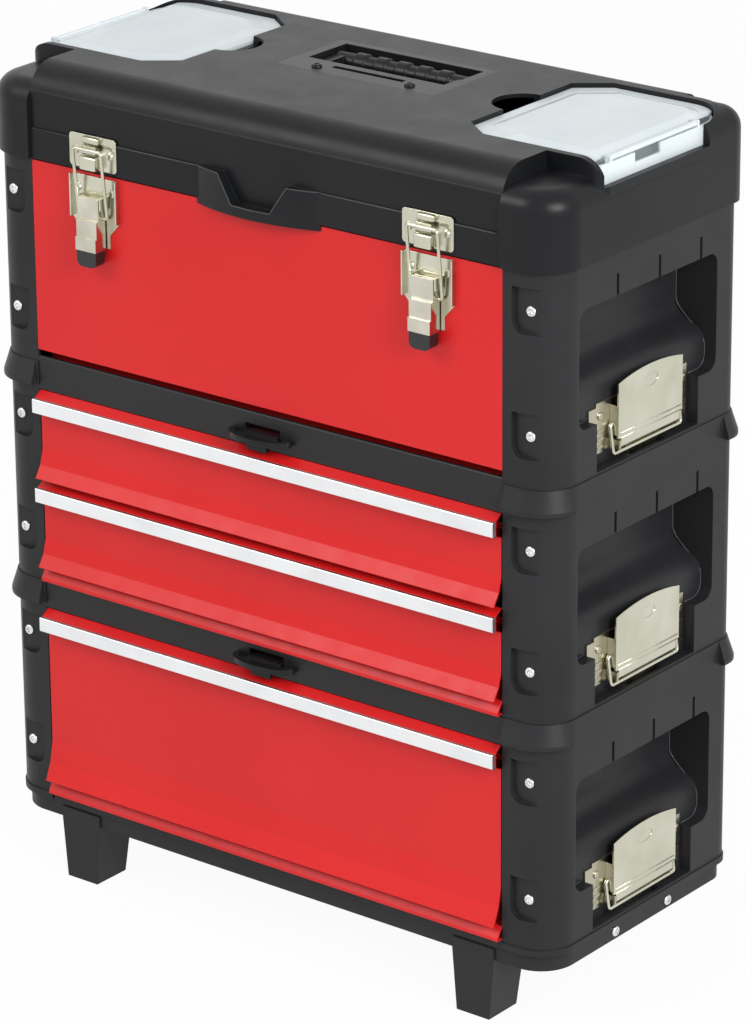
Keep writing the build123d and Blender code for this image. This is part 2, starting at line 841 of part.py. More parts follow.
def side_bail(seam):
    """Bent wire bail: two legs from the lever down to the bar that hooks under the strike."""
    half = latch_lever_width / 2
    leg_y = half + bail_side_gap + bail_wire_radius
    inner_y = half - latch_plate - 1
    top_x, z_top = bail_pivot(seam)
    bar_x = latch_floor_x + bracket_plate + bail_wire_radius + bail_pivot_depth
    z_bar = seam + bail_bar_height
    points = [
        (top_x, latch_y - inner_y, z_top),
        (top_x, latch_y - leg_y, z_top),
        (bar_x, latch_y - leg_y, z_bar),
        (bar_x, latch_y + leg_y, z_bar),
        (top_x, latch_y + leg_y, z_top),
        (top_x, latch_y + inner_y, z_top),
    ]
    return bent_wire(points, bail_bend, bail_wire_radius)


def open_box():
    """Red open-topped steel box of the top module, stepped in behind the rail below it."""
    def outline(inset, top):
        return [
            (front_y + inset, top),
            (front_y + inset, top_seam + rail_rise_middle + 5 + inset),
            (front_y + toe_setback + inset, top_seam + rail_rise_middle + 5 + inset),
            (front_y + toe_setback + inset, top_seam + 1 + inset),
            (back_y - 1 - inset, top_seam + 1 + inset),
            (back_y - 1 - inset, top),
        ]

    outer = side_profile(outline(0, lid_seam - 1), -case_half, case_half)
    inner = side_profile(outline(sheet, lid_seam), -case_inner, case_inner)
    ledge_top = lid_seam - tote_top_drop - tote_depth + tote_handle_height
    ledge_y = (front_y + sheet, back_y - 1 - sheet)
    ledge = block((case_inner - tote_ledge, case_inner), ledge_y, (ledge_top - sheet, ledge_top))
    return (outer - inner) + ledge + flip(ledge)


def tote_tray():
    """Lift-out tray resting on the ledges of the open box, with end handles and dividers."""
    low = lid_seam - tote_top_drop - tote_depth + tote_handle_height
    high = lid_seam - tote_top_drop
    half = case_inner - tote_gap
    y0 = front_y + sheet + tote_gap
    y1 = back_y - 1 - sheet - tote_gap
    outer = fillet(block((-half, half), (y0, y1), (low, high)).edges().filter_by(Axis.Z), 8)
    inner = fillet(
        block(
            (-half + tote_wall, half - tote_wall),
            (y0 + tote_wall, y1 - tote_wall),
            (low + tote_wall, high + 1),
        )
        .edges()
        .filter_by(Axis.Z),
        6,
    )
    tray = outer - inner
    for x in (-half / 3, half / 3):
        tray = tray + block((x - tote_wall / 2, x + tote_wall / 2), (y0 + 1, y1 - 1), (low + 1, high - 12))
    tray = tray + block((-half / 3, half / 3), (-tote_wall / 2, tote_wall / 2), (low + 1, high - 12))
    grip = block((half - 1, half + tote_gap - 1), (-45, 45), (high - 2, high))
    return tray + grip + flip(grip)


def draw_latch_base(x):
    """Chromed base plate of a front draw latch with edge flanges, two ears and the lever pin."""
    top = lid_seam - draw_base_top
    half = draw_latch_width / 2
    foot_half = draw_base_foot_width / 2
    bottom = top - draw_base_height
    shoulder = bottom + draw_base_taper
    points = [
        (x - half, top),
        (x + half, top),
        (x + half, shoulder),
        (x + foot_half, shoulder - 10),
        (x + foot_half, bottom),
        (x - foot_half, bottom),
        (x - foot_half, shoulder - 10),
        (x - half, shoulder),
    ]
    base = front_profile(points, front_y - sheet, front_y)
    pivot_y, pivot_z, bail_y, bail_z = draw_lever_places()
    face_y = front_y - sheet
    for side in (-1, 1):
        ear_x = x + side * (draw_lever_width / 2 + bracket_ear_gap)
        ear_span = sorted((ear_x, ear_x + side * ear_thickness))
        base = base + block(ear_span, (pivot_y - 3, face_y), (pivot_z - 5, pivot_z + 4))
        edge_span = sorted((x + side * half, x + side * (half - sheet)))
        base = base + block(edge_span, (face_y - draw_flange, face_y), (shoulder, top))
        base = base + rivet_head((x + side * keeper_rivet_reach, face_y, top - 10), (0, -1, 0))
    pin_reach = draw_lever_width / 2 + bracket_ear_gap + ear_thickness
    pin = bar_between((x - pin_reach, pivot_y, pivot_z), (x + pin_reach, pivot_y, pivot_z), hinge_pin_radius)
    return base + pin


def draw_lever_places():
    """Lever pivot and bail pivot of a front draw latch, as Y and Z."""
    pivot_y = front_y - draw_pivot_proud
    pivot_z = lid_seam - draw_base_top - draw_pivot_drop
    return pivot_y, pivot_z, pivot_y + draw_bail_inset, pivot_z - draw_bail_drop


def draw_lever(x):
    """Draw latch lever: a stepped channel standing further out towards its free end, with its knuckle."""
    pivot_y, pivot_z, bail_y, bail_z = draw_lever_places()
    half = draw_lever_width / 2
    top = pivot_z + draw_knuckle_radius
    bottom = pivot_z - draw_metal_length
    back = bail_y + draw_wire_radius + 0.6
    faces = [front_y - proud for proud in draw_step_proud]
    step_z = [pivot_z - draw_step_pitch, pivot_z - 2 * draw_step_pitch]
    outer = [
        (back, top - draw_corner_relief),
        (back - draw_corner_relief, top),
        (faces[0], top),
        (faces[0], step_z[0]),
        (faces[1], step_z[0]),
        (faces[1], step_z[1]),
        (faces[2], step_z[1]),
        (faces[2], bottom),
        (back, bottom),
    ]
    inner = [
        (back + 1, top + 1),
        (faces[0] + latch_plate, top + 1),
        (faces[0] + latch_plate, step_z[0] - latch_plate),
        (faces[1] + latch_plate, step_z[0] - latch_plate),
        (faces[1] + latch_plate, step_z[1] - latch_plate),
        (faces[2] + latch_plate, step_z[1] - latch_plate),
        (faces[2] + latch_plate, bottom - 1),
        (back + 1, bottom - 1),
    ]
    lever = side_profile(outer, x - half, x + half)
    lever = lever - side_profile(inner, x - half + latch_plate, x + half - latch_plate)
    knuckle_ends = ((x - half, pivot_y, pivot_z), (x + half, pivot_y, pivot_z))
    lever = lever + bar_between(*knuckle_ends, draw_knuckle_radius)
    bore_start = (x - half - 1, pivot_y, pivot_z)
    bore_end = (x + half + 1, pivot_y, pivot_z)
    lever = lever - bar_between(bore_start, bore_end, hinge_pin_radius + running_gap)
    hole_start = (x - half - 1, bail_y, bail_z)
    hole_end = (x + half + 1, bail_y, bail_z)
    return lever - bar_between(hole_start, hole_end, draw_wire_radius + running_gap)


def draw_tip(x):
    """Black plastic tip plugged into the free end of the draw latch lever."""
    pivot_y, pivot_z, bail_y, bail_z = draw_lever_places()
    bottom = pivot_z - draw_metal_length
    half = draw_tip_width / 2
    face_y = front_y - draw_step_proud[-1]
    tip = block((x - half, x + half), (face_y + 0.5, bail_y + 1), (bottom - draw_tip_length, bottom))
    tip = fillet(tip.edges().filter_by(Axis.Y).group_by(Axis.Z)[0], 5)
    tongue_half = draw_lever_width / 2 - latch_plate - running_gap
    tongue_y = (face_y + latch_plate + running_gap, bail_y)
    return tip + block((x - tongue_half, x + tongue_half), tongue_y, (bottom - 1, bottom + draw_tongue))


def keeper_face_y():
    """Face of the lid's front band, where the keepers are riveted."""
    return front_y - lid_front_overhang - lid_band_proud


def keeper_hook_y():
    """Front face of the keeper hook."""
    return keeper_face_y() - sheet - keeper_hook_reach


def draw_bail(x):
    """Bent wire bail of a draw latch, from the lever up to the keeper hook."""
    pivot_y, pivot_z, bail_y, bail_z = draw_lever_places()
    leg_reach = draw_lever_width / 2 + ear_thickness + 1.0 + draw_wire_radius
    inner_reach = draw_lever_width / 2 - latch_plate - bail_side_gap
    top_z = lid_seam + keeper_rise + keeper_hook_rise
    top_y = keeper_hook_y() - strike_gap - draw_wire_radius
    points = [
        (x - inner_reach, bail_y, bail_z),
        (x - leg_reach, bail_y, bail_z),
        (x - leg_reach, top_y, top_z),
        (x + leg_reach, top_y, top_z),
        (x + leg_reach, bail_y, bail_z),
        (x + inner_reach, bail_y, bail_z),
    ]
    return bent_wire(points, draw_bend, draw_wire_radius)


def keeper(x):
    """Keeper plate on the lid with the hook for the draw latch bail."""
    y1 = keeper_face_y()
    half = draw_latch_width / 2
    low = lid_seam + keeper_rise
    plate = block((x - half, x + half), (y1 - sheet, y1), (low, low + keeper_height))
    plate = fillet(plate.edges().filter_by(Axis.Y), 3)
    hook_half = draw_lever_width / 2 - 3
    shelf = block(
        (x - hook_half, x + hook_half),
        (keeper_hook_y(), y1 - sheet),
        (low + keeper_hook_rise - 3.2, low + keeper_hook_rise - 1.7),
    )
    lip = block(
        (x - hook_half, x + hook_half),
        (keeper_hook_y(), keeper_hook_y() + 1.5),
        (low + keeper_hook_rise - 3.2, low + keeper_hook_rise + 2.5),
    )
    for side in (-1, 1):
        rivet = (x + side * keeper_rivet_reach, y1 - sheet, low + keeper_height / 2)
        plate = plate + rivet_head(rivet, (0, -1, 0))
    return plate + shelf + lip


def lid_plan():
    """Plan of the lid's lower edge."""
    y0 = front_y - lid_front_overhang - lid_end_proud
    y1 = back_y + lid_rear_overhang
    front_round = corner_radius + lid_overhang
    return rounded_plan(half_width + lid_overhang, (y0, y1), front_round, rear_corner_radius + lid_overhang)


def organizer_plan(grow):
    """Plan of the right organizer grown by a margin."""
    return organizer_shape(grow, organizer_front_corner + grow)


def organizer_shape(grow, front_round):
    """Plan of the right organizer: rounded outer corners, bevelled inner corners."""
    x0 = organizer_inner - grow
    x1 = organizer_outer + grow
    y0 = -organizer_front - grow
    y1 = organizer_back + grow
    plan = Pos((x0 + x1) / 2, (y0 + y1) / 2) * Rectangle(x1 - x0, y1 - y0)
    plan = rounded_outer(plan, front_round, organizer_corner + grow)
    return chamfer(plan.vertices().group_by(Axis.X)[0], organizer_chamfer_y, organizer_chamfer_x)


def thumb_lip():
    """Bulging lip at the middle of the lid's front edge, with the finger scoop above it."""
    base_y = front_y - lid_front_overhang
    arc = ThreePointArc((-thumb_width / 2, base_y), (0, base_y - thumb_proud), (thumb_width / 2, base_y))
    plan = make_face([arc, Line((thumb_width / 2, base_y), (-thumb_width / 2, base_y))])
    return extrude(Plane.XY.offset(lid_seam - thumb_drop) * plan, thumb_drop + lid_band_height)


def lid_ends(base):
    """Rounded end caps in front and the higher rounded mass along the rear."""
    low_ends = extrude(Plane.XY.offset(base) * lid_plan(), lid_end_height - face_gap)
    low_ends = fillet(low_ends.faces().sort_by(Axis.Z)[-1].edges(), lid_end_round)
    rear_mass = extrude(Plane.XY.offset(base) * lid_plan(), lid_rear_height - face_gap)
    rear_mass = fillet(rear_mass.faces().sort_by(Axis.Z)[-1].edges(), lid_end_round)
    rear_y = (organizer_side_back, body_depth)
    rear_zone = block((-body_width, body_width), rear_y, (base - 1, lid_seam + 2 * lid_height))
    return low_ends + (rear_mass & rear_zone)


def lid_middle(base):
    """Higher middle of the lid with its rounded front and rear edges."""
    middle_half = half_width + lid_overhang - lid_end_width
    y_span = (front_y - lid_front_overhang, back_y + lid_rear_overhang)
    middle = block((-middle_half, middle_half), y_span, (base, lid_seam + lid_height))
    front_edge = middle.edges().filter_by(Axis.X).group_by(Axis.Z)[-1].sort_by(Axis.Y)[0]
    middle = fillet(front_edge, lid_crown_round)
    rear_edge = middle.edges().filter_by(Axis.X).group_by(Axis.Z)[-1].sort_by(Axis.Y)[-1]
    return fillet(rear_edge, lid_rear_round)


def organizer_rim():
    """Raised rim round the right organizer, its outer end rounded as seen from the front."""
    height = lid_height - organizer_floor
    rim_plane = Plane.XY.offset(lid_seam + organizer_floor)
    rim = extrude(rim_plane * organizer_plan(organizer_gap + organizer_rim_width), height)
    outer_x = half_width + lid_overhang
    envelope = block((0, outer_x), (-body_depth, body_depth), (lid_seam, lid_seam + lid_height))
    outer_edge = envelope.edges().filter_by(Axis.Y).group_by(Axis.Z)[-1].sort_by(Axis.X)[-1]
    return rim & fillet(outer_edge, rim_end_round)


def organizer_opening():
    """Pocket of the right organizer, its open side and the finger scallop in its inner wall."""
    pocket = extrude(Plane.XY.offset(lid_seam + organizer_floor) * organizer_plan(organizer_gap), lid_height)
    side_gap = block(
        (organizer_outer - organizer_corner, half_width + 2 * lid_end_width),
        (-organizer_side_front - organizer_gap, organizer_side_back),
        (lid_seam + organizer_sill, lid_seam + 2 * lid_height),
    )
    scallop_y = (organizer_back - organizer_front) / 2
    scallop_place = Pos(organizer_inner, scallop_y, lid_seam + lid_height)
    scallop = scallop_place * Cylinder(scallop_radius, scallop_height)
    return pocket + side_gap + scallop


def lid():
    """Moulded lid: rounded ends, higher middle, organizer rims and the carry handle opening."""
    base = lid_seam + face_gap
    middle_half = half_width + lid_overhang - lid_end_width
    face_y = front_y - lid_front_overhang
    tall = lid_seam + 2 * lid_height
    notch = block((-middle_half, middle_half), (front_y - 2 * corner_radius, face_y), (base - 1, tall))
    band_z = (base, lid_seam + lid_band_height)
    band = block((-middle_half, middle_half), (face_y - lid_band_proud, face_y), band_z)
    rim = organizer_rim()
    shell = (lid_ends(base) - notch) + lid_middle(base) + rim + flip(rim) + band + thumb_lip()
    scoop_low = lid_seam - thumb_drop + scoop_rise
    scoop_high = lid_seam + lid_band_height + 1
    scoop = front_profile(
        [
            (-scoop_top_width / 2, scoop_high),
            (-scoop_bottom_width / 2, scoop_low),
            (scoop_bottom_width / 2, scoop_low),
            (scoop_top_width / 2, scoop_high),
        ],
        front_y - 2 * thumb_proud,
        face_y,
    )
    opening = organizer_opening()
    shell = shell - scoop - opening - flip(opening) - frame_opening()
    return shell - lid_cavity()


def lid_cavity():
    """Hollow underside of the lid."""
    low = lid_seam - face_gap - 2 * lid_wall
    low_top = lid_seam + organizer_floor - lid_wall
    y0 = front_y - lid_front_overhang + lid_wall
    y1 = back_y + lid_rear_overhang - lid_wall
    inner_half = half_width + lid_overhang - lid_wall
    rear_round = rear_corner_radius + lid_overhang - lid_wall
    plan = rounded_plan(inner_half, (y0, y1), corner_radius, rear_round)
    wide = extrude(Plane.XY.offset(low) * plan, low_top - low)
    high_half = organizer_inner - organizer_gap - lid_wall - 2
    high = block((-high_half, high_half), (y0, y1), (low, lid_seam + lid_height - lid_wall))
    front_edge = high.edges().filter_by(Axis.X).group_by(Axis.Z)[-1].sort_by(Axis.Y)[0]
    high = fillet(front_edge, lid_crown_round - lid_wall)
    rear_edge = high.edges().filter_by(Axis.X).group_by(Axis.Z)[-1].sort_by(Axis.Y)[-1]
    high = fillet(rear_edge, lid_rear_round - lid_wall)
    return wide + high + rear_cavity(low, y1)


def rear_cavity(low, y1):
    """Hollow behind the organizers, inside the high rear mass of the lid."""
    y0 = organizer_back + organizer_gap + lid_wall
    top = lid_seam + lid_rear_height - lid_wall
    outline = [(y0, low), (y0, top), (y0 + lid_wall, top), (y1, top - lid_end_round + lid_wall), (y1, low)]
    half = half_width - corner_radius
    return side_profile(outline, -half, half)


def frame_opening():
    """Opening and rebate in the lid for the carry handle frame."""
    y0 = frame_centre_y - frame_depth / 2
    y1 = frame_centre_y + frame_depth / 2
    top = lid_seam + lid_height
    rebate = block((-frame_width / 2, frame_width / 2), (y0, y1), (top - frame_flange, top + 1))
    hole = block(
        (-frame_width / 2 + 4, frame_width / 2 - 4), (y0 + 4, y1 - 4), (top - frame_well_depth - 8, top + 1)
    )
    return rebate + hole


def handle_well():
    """Limits of the open well in the handle frame."""
    y0 = frame_centre_y - frame_depth / 2
    y1 = frame_centre_y + frame_depth / 2
    x_half = frame_width / 2 - frame_side_land
    return x_half, y0 + frame_front_land, y1 - frame_side_land + 2


def handle_frame():
    """Black frame let into the lid: flange, front land with slot, and the well for the handle."""
    y0 = frame_centre_y - frame_depth / 2
    y1 = frame_centre_y + frame_depth / 2
    top = lid_seam + lid_height
    x_half, well_y0, well_y1 = handle_well()
    flange = block((-frame_width / 2, frame_width / 2), (y0, y1), (top - frame_flange, top))
    tub = block(
        (-x_half - frame_wall, x_half + frame_wall),
        (well_y0 - frame_wall, well_y1 + frame_wall),
        (top - frame_well_depth - frame_wall, top),
    )
    well = block((-x_half, x_half), (well_y0, well_y1), (top - frame_well_depth, top + 1))
    slot_y = (y0 + well_y0) / 2
    slot = block((-32, 32), (slot_y + 1, slot_y + 6), (top - frame_flange - 1, top + 1))
    frame = flange + tub - well - slot
    pin_z = top - grip_radius - 1
    pin_y = well_y0 + 9
    socket_reach = x_half + frame_wall - 0.5
    socket_radius = handle_pin_radius + running_gap
    frame = frame - bar_between((-socket_reach, pin_y, pin_z), (socket_reach, pin_y, pin_z), socket_radius)
    for side in (-1, 1):
        frame = frame + screw_head((side * 42, slot_y - 3, top), (0, 0, 1))
    return frame


def carry_handle():
    """Carry handle lying in its well: two arms on pins and a grip with finger bumps."""
    top = lid_seam + lid_height
    x_half, well_y0, well_y1 = handle_well()
    pin_z = top - grip_radius - 1
    pin_y = well_y0 + 9
    grip_y = well_y1 - grip_radius - 3
    arm_x = x_half - handle_side_gap
    grip = bar_between((-arm_x, grip_y, pin_z), (arm_x, grip_y, pin_z), grip_radius - 1.5)
    pitch = 2 * (arm_x - handle_arm - 4) / grip_bumps
    for index in range(grip_bumps):
        x = (index - (grip_bumps - 1) / 2) * pitch
        bump = Pos(x, grip_y, pin_z) * Rot(0, 90, 0) * Cylinder(grip_radius, pitch * 0.62)
        grip = grip + fillet(bump.edges().filter_by(GeomType.CIRCLE), 2.2)
    handle = grip
    for side in (-1, 1):
        x0 = side * arm_x
        x1 = side * (arm_x - handle_arm)
        arm = block((min(x0, x1), max(x0, x1)), (pin_y - 5, grip_y), (pin_z - 5, pin_z + 5))
        handle = handle + arm
        pin_end = side * (x_half + frame_wall - 1)
        pin_start = side * (arm_x - 1)
        handle = handle + bar_between((pin_start, pin_y, pin_z), (pin_end, pin_y, pin_z), handle_pin_radius)
    return handle


def organizer_box():
    """Open small-parts box in the right lid pocket, with dividers, outer notch and hinge ears."""
    low = lid_seam + organizer_floor
    high = low + organizer_height
    divider_z = (low + 1, high - divider_drop)
    outer = extrude(Plane.XY.offset(low) * organizer_plan(0), organizer_height)
    inner = extrude(Plane.XY.offset(low + organizer_wall) * organizer_plan(-organizer_wall), organizer_height)
    notch = block(
        (organizer_outer - organizer_wall - 1, organizer_outer + 1),
        (-organizer_notch_half, organizer_notch_half),
        (high - organizer_notch_depth, high + 1),
    )
    box = outer - inner - notch
    centre_y = (organizer_back - organizer_front) / 2
    centre_span = (centre_y - organizer_wall / 2, centre_y + organizer_wall / 2)
    box = box + block((organizer_inner + 1, organizer_outer - 1), centre_span, divider_z)
    for share in (1 / 3, 2 / 3):
        x = organizer_inner + organizer_span * share
        x_span = (x - organizer_wall / 2, x + organizer_wall / 2)
        box = box + block(x_span, (-organizer_front + 1, organizer_back - 1), divider_z)
    axis_x, axis_z = cover_axis()
    for y in (-cover_hinge_front, cover_hinge_back - cover_ear):
        ear_z = (high - organizer_wall - cover_ear_reach, axis_z + cover_ear_reach)
        box = box + block((axis_x - cover_ear_reach, organizer_outer), (y, y + cover_ear), ear_z)
    hole_start = (axis_x, -cover_hinge_front - 1, axis_z)
    hole_end = (axis_x, cover_hinge_back + 1, axis_z)
    return box - bar_between(hole_start, hole_end, cover_pin_radius + running_gap)


def cover_axis():
    """Hinge axis of the organizer cover, as X and Z."""
    axis_z = lid_seam + organizer_floor + organizer_height + cover_barrel_radius + face_gap
    return organizer_outer - cover_ear_reach, axis_z


def organizer_cover():
    """Clear cover with a faceted raised top and a hinge barrel along the outer edge."""
    axis_x, axis_z = cover_axis()
    low = lid_seam + organizer_floor + organizer_height + face_gap
    tall = (low - 1, low + organizer_height)
    beyond_x = organizer_outer + organizer_corner
    cover = extrude(Plane.XY.offset(low) * organizer_plan(0), cover_thickness)
    barrel_y0 = -cover_hinge_front + cover_ear + cover_ear_gap
    barrel_y1 = cover_hinge_back - cover_ear - cover_ear_gap
    cover = cover - block((axis_x, beyond_x), (-body_depth, body_depth), tall)
    for y_span in ((-body_depth, barrel_y0), (barrel_y1, body_depth)):
        cover = cover - block((axis_x - cover_corner_relief, beyond_x), y_span, tall)
    barrel = bar_between((axis_x, barrel_y0, axis_z), (axis_x, barrel_y1, axis_z), cover_barrel_radius)
    pin_start = (axis_x, -cover_hinge_front + 0.5, axis_z)
    pin = bar_between(pin_start, (axis_x, cover_hinge_back - 0.5, axis_z), cover_pin_radius)
    raised = loft(
        [
            Plane.XY.offset(low + cover_thickness) * organizer_shape(-cover_facet_low, cover_facet_corner),
            Plane.XY.offset(low + cover_thickness + cover_facet_rise)
            * organizer_shape(-cover_facet_high, cover_facet_corner),
        ]
    )
    return cover + barrel + pin + raised


def hinge_knuckles(lid_side):
    """Alternate knuckles of the rear hinge, with the leaf of one side."""
    axis_y = back_y + hinge_setback
    axis_z = lid_seam + 1
    span = 2 * (half_width - corner_radius - 20)
    count = int(span / hinge_knuckle)
    start = -count * hinge_knuckle / 2
    pieces = None
    for index in range(count):
        if (index % 2 == 1) != lid_side:
            continue
        x0 = start + index * hinge_knuckle + 0.3
        x1 = start + (index + 1) * hinge_knuckle - 0.3
        knuckle = bar_between((x0, axis_y, axis_z), (x1, axis_y, axis_z), hinge_radius)
        pieces = knuckle if pieces is None else pieces + knuckle
    return pieces, start, count


def body_hinge():
    """Hinge leaf on the back of the open box with its knuckles and the hinge pin."""
    axis_y = back_y + hinge_setback
    axis_z = lid_seam + 1
    knuckles, start, count = hinge_knuckles(False)
    y0 = back_y - 1
    leaf = block((start, -start), (y0, y0 + hinge_leaf_thickness), (axis_z - hinge_leaf, axis_z - 4))
    for index in range(count):
        if index % 2 == 1:
            continue
        x0 = start + index * hinge_knuckle + 0.3
        x1 = start + (index + 1) * hinge_knuckle - 0.3
        leaf = leaf + block((x0, x1), (y0, axis_y), (axis_z - 5, axis_z - 1.8))
    pin = bar_between((start, axis_y, axis_z), (-start, axis_y, axis_z), hinge_bore)
    return leaf + knuckles + pin


def lid_hinge():
    """Hinge knuckles moulded to the rear edge of the lid."""
    axis_y = back_y + hinge_setback
    axis_z = lid_seam + 1
    knuckles, start, count = hinge_knuckles(True)
    bore = bar_between((start - 1, axis_y, axis_z), (1 - start, axis_y, axis_z), hinge_bore + running_gap)
    wall_y = back_y + lid_rear_overhang - lid_wall
    leaf_x = (start + hinge_knuckle, -start - hinge_knuckle)
    leaf_z = (axis_z + hinge_radius + 0.6, axis_z + hinge_leaf)
    leaf = block(leaf_x, (wall_y - hinge_leaf_thickness, wall_y), leaf_z)
    for index in range(1, count, 2):
        x0 = start + index * hinge_knuckle + 0.3
        x1 = start + (index + 1) * hinge_knuckle - 0.3
        leaf = leaf + block((x0, x1), (wall_y - hinge_leaf_thickness, wall_y), (axis_z, axis_z + 5))
    return knuckles + leaf - bore


def hinge_relief():
    """Room in the lid's rear wall for the hinge barrel."""
    axis_y = back_y + hinge_setback
    axis_z = lid_seam + 1
    start = hinge_knuckles(True)[1]
    return bar_between((start - 1, axis_y, axis_z), (1 - start, axis_y, axis_z), hinge_radius + 0.4)


def base_tray():
    """Trolley tray: flat top, rim, ribs below and an upstand behind the front edge."""
    y_in = back_y - tray_inset
    plan = rounded_plan(half_width - tray_inset, (-y_in, y_in), corner_radius, rear_corner_radius)
    outer = extrude(Plane.XY.offset(foot_height) * plan, tray_height)
    y_in = y_in - tray_wall
    inner_half = half_width - tray_inset - tray_wall
    inner_front = corner_radius - tray_wall
    inner_plan = rounded_plan(inner_half, (-y_in, y_in), inner_front, rear_corner_radius - tray_wall)
    inner = extrude(Plane.XY.offset(foot_height - 1) * inner_plan, tray_height - tray_top_thickness + 1)
    tray = outer - inner
    rib_span = (foot_height + 2, tray_top - tray_top_thickness / 2)
    count = int(body_width / tray_rib_pitch / 2)
    for index in range(-count, count + 1):
        x = index * tray_rib_pitch
        tray = tray + block((x - tray_rib / 2, x + tray_rib / 2), (front_y + 5, back_y - 5), rib_span)
    tray = tray + block((-half_width + 6, half_width - 6), (-tray_rib / 2, tray_rib / 2), rib_span)
    fence = block(
        (-panel_inner_x + 0.4, panel_inner_x - 0.4),
        (front_y + 0.2, front_y + rail_thickness),
        (tray_top - 1, bottom_seam + sill_bottom - 0.5),
    )
    tray = tray + fence
    pocket = strike_pocket(tray_top)
    tray = tray - pocket - flip(pocket)
    socket = foot_shape(foot_socket_depth)
    return tray - socket - flip(socket)


def foot_shape(extra):
    """Tapered foot under the front edge of the tray, rising into it by the extra height."""
    x = foot_spacing / 2
    y0 = front_y + foot_setback
    top_outline = Pos(x, y0 + foot_depth_top / 2) * Rectangle(foot_width_top, foot_depth_top)
    top = Plane.XY.offset(foot_height) * top_outline
    bottom = Plane.XY * (Pos(x, y0 + foot_depth_bottom / 2) * Rectangle(foot_width_bottom, foot_depth_bottom))
    foot = loft([bottom, top])
    if extra > 0:
        foot = foot + extrude(top, extra)
    return foot


def front_feet():
    """Two front feet seated in the tray."""
    return both(foot_shape(foot_socket_depth))


def axle_place():
    """Centre of the wheel axle, as Y and Z."""
    return back_y + axle_setback, wheel_radius


def axle_bracket():
    """Steel bracket bolted to the tray's rear rim, carrying the axle and the handle tubes."""
    axle_y, axle_z = axle_place()
    arm_x = wheel_outer - wheel_width - 4
    y0 = back_y - tray_inset
    plate = block((-arm_x, arm_x), (y0, y0 + bracket_arm), (foot_height - bracket_drop, tray_top - 1))
    for side in (-1, 1):
        x0 = side * arm_x
        x1 = x0 - side * bracket_arm
        arm = front_arm_profile(min(x0, x1), max(x0, x1), y0, axle_y, axle_z)
        plate = plate + arm
    shelf_half = handle_spacing / 2 + shelf_margin
    shelf_z = (foot_height - bracket_drop, foot_height - bracket_arm)
    plate = plate + block((-shelf_half, shelf_half), (y0, y0 + shelf_reach), shelf_z)
    hole = bar_between((-arm_x - 1, axle_y, axle_z), (arm_x + 1, axle_y, axle_z), wheel_bore)
    return plate - hole


def front_arm_profile(x0, x1, y0, axle_y, axle_z):
    """One side plate of the axle bracket, tapering to the axle."""
    points = [
        (y0, foot_height - bracket_drop),
        (y0, tray_top - 1),
        (y0 + axle_boss_radius, tray_top - 1),
        (axle_y, axle_z + axle_boss_radius),
        (axle_y, axle_z - axle_boss_radius),
    ]
    boss = bar_between((x0, axle_y, axle_z), (x1, axle_y, axle_z), axle_boss_radius)
    return side_profile(points, x0, x1) + boss


def axle():
    """Axle rod with its end caps."""
    axle_y, axle_z = axle_place()
    end = wheel_outer + axle_cap_gap + axle_cap_overlap
    rod = bar_between((-end, axle_y, axle_z), (end, axle_y, axle_z), wheel_bore - running_gap)
    for side in (-1, 1):
        x0 = side * (wheel_outer + axle_cap_gap)
        x1 = side * (wheel_outer + axle_cap_gap + axle_cap)
        rod = rod + bar_between((x0, axle_y, axle_z), (x1, axle_y, axle_z), axle_cap_radius)
    return rod


def wheel_rim():
    """Right wheel centre: hub, web with round holes, and rim."""
    axle_y, axle_z = axle_place()
    x1 = wheel_outer
    x0 = wheel_outer - wheel_width
    rim_radius = wheel_radius - tyre_thickness
    rim = bar_between((x0, axle_y, axle_z), (x1, axle_y, axle_z), rim_radius)
    dish = (wheel_width - wheel_web) / 2
    for face_x, direction in ((x0 - 1, 1), (x1 + 1, -1)):
        start = (face_x, axle_y, axle_z)
        end = (face_x + direction * (dish + 1), axle_y, axle_z)
        ring = bar_between(start, end, rim_radius - wheel_rim_wall)
        rim = rim - (ring - bar_between(start, end, wheel_hub_radius))
    for index in range(wheel_spokes):
        angle = radians(360 / wheel_spokes * index)
        y = axle_y + wheel_hole_place * cos(angle)
        z = axle_z + wheel_hole_place * sin(angle)
        rim = rim - bar_between((x0 - 1, y, z), (x1 + 1, y, z), wheel_hole_radius)
    return rim - bar_between((x0 - 1, axle_y, axle_z), (x1 + 1, axle_y, axle_z), wheel_bore)


def tyre():
    """Right tyre with rounded shoulders."""
    axle_y, axle_z = axle_place()
    x1 = wheel_outer
    x0 = wheel_outer - wheel_width
    outer = bar_between((x0, axle_y, axle_z), (x1, axle_y, axle_z), wheel_radius)
    outer = fillet(outer.edges().filter_by(GeomType.CIRCLE), tyre_shoulder)
    inner_radius = wheel_radius - tyre_thickness
    return outer - bar_between((x0 - 1, axle_y, axle_z), (x1 + 1, axle_y, axle_z), inner_radius)


def tube_section(width, depth):
    """Rounded rectangular tube section at the right handle tube."""
    y = back_y + tube_setback
    return Pos(handle_spacing / 2, y) * RectangleRounded(width, depth, tube_round)


